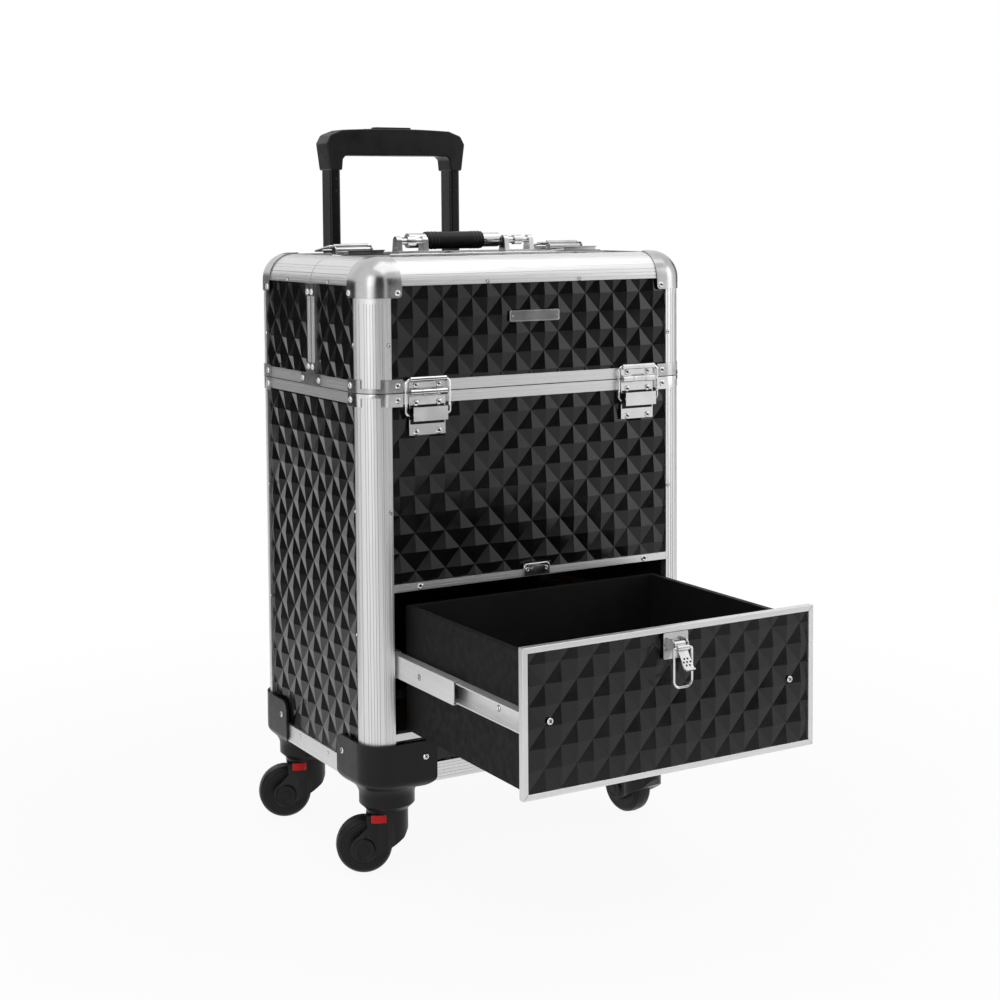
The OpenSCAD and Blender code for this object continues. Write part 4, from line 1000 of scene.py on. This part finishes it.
EDGE_R, EDGE_BEND, EDGE_RISE = 0.7 * MM, 3 * MM, 0.2 * MM
EDGE_IN, EDGE_TOP, PLATE_IN = 1 * MM, 0.8 * MM, 2 * MM
STUD_IN, STUD_R, STUD_H = 3.4 * MM, 2.3, 0.8
catch_low, catch_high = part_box("drawer_catch")
ahead = (catch_low.x + PLATE_IN, catch_low.y - RAY, catch_high.z - PLATE_IN)
plate_y = surface("drawer_catch", ahead, Y).y
bm = bmesh.new()
left, right = catch_low.x + EDGE_IN, catch_high.x - EDGE_IN
foot, top = catch_low.z + EDGE_IN, catch_high.z - EDGE_TOP
outline = ((left, foot), (left, top), (right, top), (right, foot))
corners = [Vector((a, plate_y - EDGE_RISE, b)) for a, b in outline]
wire(bm, rounded_path(corners, [EDGE_BEND, EDGE_BEND]), EDGE_R, Y)
for sign in (-1, 1):
    rivet(bm, Vector((sign * (right - STUD_IN), plate_y, (foot + top) / 2)), -Y, STUD_R, STUD_H)
piece("drawer_catch_edge", bm, [plated, recess_shade], "case")


# Badge: a rim and two pins on the bare plate

RIM_W, RIM_H, RIM_BEND = 0.9 * MM, 0.35 * MM, 2 * MM
RIM_EDGE, RIM_SLOPE, RIM_FOOT = 0.2 * MM, 0.4 * MM, 1.25
BADGE_PIN_IN, BADGE_PIN_R, BADGE_PIN_H = 3.4 * MM, 1.1, 0.5


def rounded(width, height, radius, steps=5):
    """Points round a rectangle with rounded corners."""
    points = []
    for cx, cy, turn in ((1, 1, 0), (-1, 1, 1), (-1, -1, 2), (1, -1, 3)):
        for k in range(steps + 1):
            a = math.radians(90 * (turn + k / steps))
            across = cx * (width / 2 - radius) + radius * math.cos(a)
            points.append((across, cy * (height / 2 - radius) + radius * math.sin(a)))
    return points


badge_low, badge_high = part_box("badge_plate")
badge_mid = (badge_low + badge_high) / 2
badge_size = badge_high - badge_low
bm = bmesh.new()
rings = []
for inset, rise in ((RIM_EDGE, 0), (RIM_SLOPE, RIM_H), (RIM_W, RIM_H), (RIM_FOOT * RIM_W, 0)):
    outline = rounded(badge_size.x - 2 * inset, badge_size.z - 2 * inset, RIM_BEND - inset / 2)
    places = [(badge_mid.x + a, badge_low.y - rise, badge_mid.z + b) for a, b in outline]
    rings.append([bm.verts.new(place) for place in places])
for low, high in zip(rings, rings[1:] + rings[:1]):
    for k in range(len(low)):
        n = (k + 1) % len(low)
        bm.faces.new((low[k], low[n], high[n], high[k]))
for sign in (-1, 1):
    x = badge_mid.x + sign * (badge_size.x / 2 - BADGE_PIN_IN)
    rivet(bm, Vector((x, badge_low.y, badge_mid.z)), -Y, BADGE_PIN_R, BADGE_PIN_H)
piece("badge_rim", bm, [satin_and_shade, recess_shade], "front_lid")


# Trolley handle: ribs under the grip and screws in the tubes

grip_low, grip_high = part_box("handle_grip")
grip_y = (grip_low.y + grip_high.y) / 2
grip_depth = (grip_high.y - grip_low.y) / MM
RIBS, RIB_STEP = 15, 5 * MM
# A rib is two blocks, each with its share of the size and its extra drop; all start RIB_DEEP in the grip
RIB_BLOCKS = ((1, 0.0), (0.55, 0.55))
RIB_L, RIB_W, RIB_H, RIB_DEEP = grip_depth * 0.62, 2.6, 0.55, 0.3
bm = bmesh.new()
for k in range(RIBS):
    x = (k - (RIBS - 1) / 2) * RIB_STEP
    hit = surface("handle_grip", (x, grip_y, grip_low.z + RAY), Z)
    if hit:
        for scale, drop in RIB_BLOCKS:
            size = (RIB_L * scale ** 0.2, RIB_W * scale, RIB_DEEP + RIB_H + drop)
            bar(bm, hit + Vector((0, 0, RIB_DEEP * MM)), Y, X, -Z, size)
piece("grip_ribs", bm, looks["black_plastic"], "handle_inner")

# Distances of the tube screws under the grip's top, their radius and height
TUBE_DROPS, TUBE_SCREW = (54.5 * MM, 67.5 * MM), (1.7, 0.25)
bm = bmesh.new()
for low, high in solid_boxes("handle_inner_tubes"):
    x = (low.x + high.x) / 2
    for drop in TUBE_DROPS:
        screw(bm, Vector((x, low.y, grip_high.z - drop)), -Y, *TUBE_SCREW, 0, 1)
piece("tube_screws", bm, [*looks["black_plastic"], recess_shade], "handle_inner")


# Casters: a ring and a plain boss on each hub cap, and two rings on each side of the wheels

HUB_SECTION = (
    (0, -0.2), (8.6, -0.2), (8.3, 0.25), (7.6, 0.3), (7.2, 0.02),
    (4.6, 0.02), (4.3, 0.3), (3.6, 0.42), (0, 0.45),
)
WHEEL_RINGS = (17.5, 20.2)
RING_SECTION = ((-0.5, -0.4), (0.5, -0.4), (0.25, 0.14), (-0.25, 0.14), (-0.5, -0.4))
for corner in CORNERS:
    joint = joints["axle_" + corner]
    fork = "fork_" + corner
    middle, axis = Vector(joint["pos_m"]), Vector(joint["axis"]).normalized()
    bm = bmesh.new()
    for sign in (-1, 1):
        out = sign * axis
        hit = surface(fork, middle + out * LONG_RAY, -out)
        lathe(bm, HUB_SECTION, hit, out, count=28)
    piece(fork + "_hub", bm, looks["black_plastic"], fork)
    wheel = "wheel_" + corner
    bm = bmesh.new()
    for sign in (-1, 1):
        out = sign * axis
        for radius in WHEEL_RINGS:
            hit = surface(wheel, middle + Z * (radius * MM) + out * LONG_RAY, -out)
            foot = middle + out * (hit - middle).dot(out)
            lathe(bm, [(radius + r, h) for r, h in RING_SECTION], foot, out, count=48)
    piece(wheel + "_rings", bm, looks["black_plastic"], wheel)


# Carry grip: moulded rings at its ends

carry_low, carry_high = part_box("carry_grip")
carry_mid = (carry_low + carry_high) / 2
carry_r = (carry_high.z - carry_low.z) / 2 / MM
CARRY_RINGS = (4, 8, 12)
CARRY_SECTION = ((-0.6, -0.9), (0.02, -0.9), (0.35, 0), (0.02, 0.9), (-0.6, 0.9), (-0.6, -0.9))
bm = bmesh.new()
for sign in (-1, 1):
    for inset in CARRY_RINGS:
        place = carry_mid + sign * X * ((carry_high.x - carry_low.x) / 2 - inset * MM)
        lathe(bm, [(carry_r + r, h) for r, h in CARRY_SECTION], place, X, count=40)
piece("carry_grip_rings", bm, looks["black_plastic"], "carry_handle")


# Drawer: fine edges along the trim, and dark discs in painted shade for the holes in the latch lever

TRIM_EDGE, TRIM_LINE, TRIM_LEAST = 0.6 * MM, (0.7, 0.14), 100 * MM
trim_low, trim_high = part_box("drawer_trim")
trim_bars = solid_boxes("drawer_trim")
trim_w = min(high.x - low.x for low, high in trim_bars if high.z - low.z > TRIM_LEAST)
trim_y = max(low.y for low, high in trim_bars if high.x - low.x > TRIM_LEAST)
bm = bmesh.new()
for inset in (TRIM_EDGE, trim_w - TRIM_EDGE):
    x, z0, z1 = trim_high.x - inset, trim_low.z + inset, trim_high.z - inset
    for z in (z0, z1):
        bead(bm, Vector((-x, trim_y, z)), Vector((x, trim_y, z)), -Y, *TRIM_LINE)
    for sign in (-1, 1):
        bead(bm, Vector((sign * x, trim_y, z0)), Vector((sign * x, trim_y, z1)), -Y, *TRIM_LINE)
piece("drawer_trim_lines", bm, looks["aluminium"][:1], "drawer")

# Holes in the lever, drawn as dark discs in painted shade: distance of each row from the pin and its count,
# step along a row, and section
HOLE_ROWS, HOLE_STEP = ((14.5, 2), (17.5, 3), (20.5, 2)), 3.4 * MM
HOLE_SECTION = ((0, -0.2), (1.15, -0.2), (1.0, 0.03), (0, 0.03))
lever_joint = joints["drawer_latch_lever_hinge"]
lever_pin = Vector(lever_joint["pos_m"])
lever_open = math.radians(-lever_joint["range_deg"][0])
lever_down = -math.sin(lever_open) * Y - math.cos(lever_open) * Z
lever_out = math.sin(lever_open) * Z - math.cos(lever_open) * Y
bm = bmesh.new()
for row, count in HOLE_ROWS:
    for k in range(count):
        x = (k - (count - 1) / 2) * HOLE_STEP
        start = lever_pin + x * X + lever_down * (row * MM) + lever_out * RAY
        hit = surface("drawer_latch_lever", start, -lever_out)
        if hit:
            lathe(bm, HOLE_SECTION, hit, lever_out, count=14)
piece("drawer_latch_holes", bm, [recess_shade], "drawer_latch_lever")


# Camera at the photograph's viewing angle

CAMERA_PLACE = Vector((-0.8929, -1.5907, 0.6264))
YAW, PITCH, ROLL = (math.radians(a) for a in (30.29, 3.83, 0.43))
FOCAL_SHARE = 1.7893
AXIS_DOWN_SHARE = -0.1696


def make_camera():
    data = bpy.data.cameras.new("camera")
    data.sensor_width = 36
    data.lens = FOCAL_SHARE * data.sensor_width
    data.shift_y = AXIS_DOWN_SHARE
    level = Vector((math.sin(YAW), math.cos(YAW), 0))
    right = Vector((math.cos(YAW), -math.sin(YAW), 0))
    up = math.sin(PITCH) * level + math.cos(PITCH) * Z
    ahead = math.cos(PITCH) * level - math.sin(PITCH) * Z
    axis_x = math.cos(ROLL) * right - math.sin(ROLL) * up
    axis_y = math.sin(ROLL) * right + math.cos(ROLL) * up
    turn = Matrix((axis_x, axis_y, -ahead)).transposed().to_4x4()
    obj = bpy.data.objects.new("camera", data)
    obj.matrix_world = Matrix.Translation(CAMERA_PLACE) @ turn
    scene.collection.objects.link(obj)
    scene.camera = obj


# Floor, soft lights and white surroundings

FLOOR_COLOUR, FLOOR_SIZE, FLOOR_DROP = grey(0.86), 12, 0.2 * MM
# Share of plain white in the floor, from the near distance to the far one
FADE = {"From Min": 0.4, "From Max": 1.0, "To Min": 0.93, "To Max": 1.0}
WORLD_LIGHT = 0.6
MIDDLE = (0, -0.1, 0.35)
# Place, size and power of each lamp
LAMPS = {
    "key_light": ((-1.75, -1.25, 1.1), (1.0, 1.6), 9),
    "top_light": ((0.3, -0.6, 2.4), (2.0, 1.6), 12),
    "side_light": ((2.0, -1.4, 1.0), (1.0, 1.6), 7),
}
# Dark cards: angle from straight behind to the left, distance, lowest point, width, height and tone
CARDS = (
    (197, 1.9, 0.32, 0.9, 1.2, 0.03),
    (198, 1.9, 0.0, 1.0, 0.18, 0.03),
    (45, 1.25, 0.15, 0.8, 0.6, 0.03),
    (13, 2.5, 0.2, 0.7, 0.6, 0.03),
    (150, 2.5, 0.02, 2.4, 2.4, 0.03),
    (290, 2.5, 0.02, 0.9, 1.5, 0.03),
    (340, 2.5, 0.02, 0.5, 1.5, 0.03),
    (48, 0.75, 0.0, 0.5, 0.21, 0.3),
)


def seen_directly(tree):
    """1 for what the camera, a mirror or a glass sees, and 0 for light that falls on things."""
    path = tree.nodes.new("ShaderNodeLightPath").outputs
    total = path["Is Camera Ray"]
    for name in ("Is Glossy Ray", "Is Transmission Ray"):
        either = tree.nodes.new("ShaderNodeMath")
        either.operation = "MAXIMUM"
        tree.links.new(total, either.inputs[0])
        tree.links.new(path[name], either.inputs[1])
        total = either.outputs[0]
    return total


def make_floor():
    """Pale floor that takes a faint shadow and runs out to white."""
    bm = bmesh.new()
    bmesh.ops.create_grid(bm, x_segments=8, y_segments=8, size=FLOOR_SIZE)
    floor = add_object("floor", bm, [])
    material = bpy.data.materials.new("floor")
    material.use_nodes = True
    tree = material.node_tree
    tree.nodes.remove(tree.nodes["Principled BSDF"])
    pale = tree.nodes.new("ShaderNodeBsdfDiffuse")
    pale.inputs["Color"].default_value = (*FLOOR_COLOUR, 1)
    white = tree.nodes.new("ShaderNodeEmission")
    coords = tree.nodes.new("ShaderNodeTexCoord")
    length = tree.nodes.new("ShaderNodeVectorMath")
    length.operation = "LENGTH"
    tree.links.new(coords.outputs["Object"], length.inputs[0])
    fade = tree.nodes.new("ShaderNodeMapRange")
    for socket, value in FADE.items():
        fade.inputs[socket].default_value = value
    tree.links.new(length.outputs["Value"], fade.inputs["Value"])
    share = tree.nodes.new("ShaderNodeMath")
    share.operation = "MULTIPLY"
    tree.links.new(fade.outputs["Result"], share.inputs[1])
    tree.links.new(seen_directly(tree), share.inputs[0])
    mix = tree.nodes.new("ShaderNodeMixShader")
    tree.links.new(share.outputs[0], mix.inputs["Fac"])
    tree.links.new(pale.outputs[0], mix.inputs[1])
    tree.links.new(white.outputs[0], mix.inputs[2])
    tree.links.new(mix.outputs[0], tree.nodes["Material Output"].inputs["Surface"])
    floor.data.materials.append(material)
    floor.location.z = -FLOOR_DROP
    floor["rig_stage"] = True


def make_world():
    """White surroundings, with a lower level for the light that they give."""
    world = bpy.data.worlds.new("studio")
    scene.world = world
    world.use_nodes = True
    tree = world.node_tree
    light = tree.nodes["Background"]
    light.inputs["Color"].default_value = (1, 1, 1, 1)
    light.inputs["Strength"].default_value = WORLD_LIGHT
    white = tree.nodes.new("ShaderNodeBackground")
    white.inputs["Color"].default_value = (1, 1, 1, 1)
    mix = tree.nodes.new("ShaderNodeMixShader")
    tree.links.new(seen_directly(tree), mix.inputs["Fac"])
    tree.links.new(light.outputs[0], mix.inputs[1])
    tree.links.new(white.outputs[0], mix.inputs[2])
    tree.links.new(mix.outputs[0], tree.nodes["World Output"].inputs["Surface"])


def aim(obj, place, target, front):
    """Places an object with its front axis towards a target."""
    obj.location = place
    obj.rotation_mode = "QUATERNION"
    obj.rotation_quaternion = (Vector(target) - Vector(place)).to_track_quat(front, "Y")


def area_light(name, place, target, size, watts):
    data = bpy.data.lights.new(name, "AREA")
    data.shape = "RECTANGLE"
    data.size, data.size_y = size
    data.energy = watts
    obj = bpy.data.objects.new(name, data)
    aim(obj, place, target, "-Z")
    scene.collection.objects.link(obj)


def dark_card(name, place, target, size, tone):
    """Dark sheet beside the set that gives metal and black gloss something to mirror."""
    bm = bmesh.new()
    bmesh.ops.create_grid(bm, x_segments=1, y_segments=1, size=0.5)
    bmesh.ops.scale(bm, vec=(*size, 1), verts=bm.verts)
    shader = Shader(name, grey(tone), roughness=0.9)
    shader.roughness(shader.noise(3), 0.85, 0.95)
    card = add_object(name, bm, [shader.material])
    aim(card, place, target, "Z")
    card.visible_camera = False
    card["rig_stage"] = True


make_camera()
make_floor()
make_world()
for name, (place, size, watts) in LAMPS.items():
    area_light(name, place, MIDDLE, size, watts)
for turn, distance, low, width, height, tone in CARDS:
    a = math.radians(turn)
    place = Vector((-math.sin(a), math.cos(a), 0)) * distance + Z * (low + height / 2)
    dark_card("card_%d" % turn, place, (0, 0, place.z), (width, height), tone)
scene.view_settings.view_transform = "Standard"

boxes = {"cad": [cad_low, cad_high], "visual": list(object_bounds())}
{k: [list(p) for p in v] for k, v in boxes.items()}
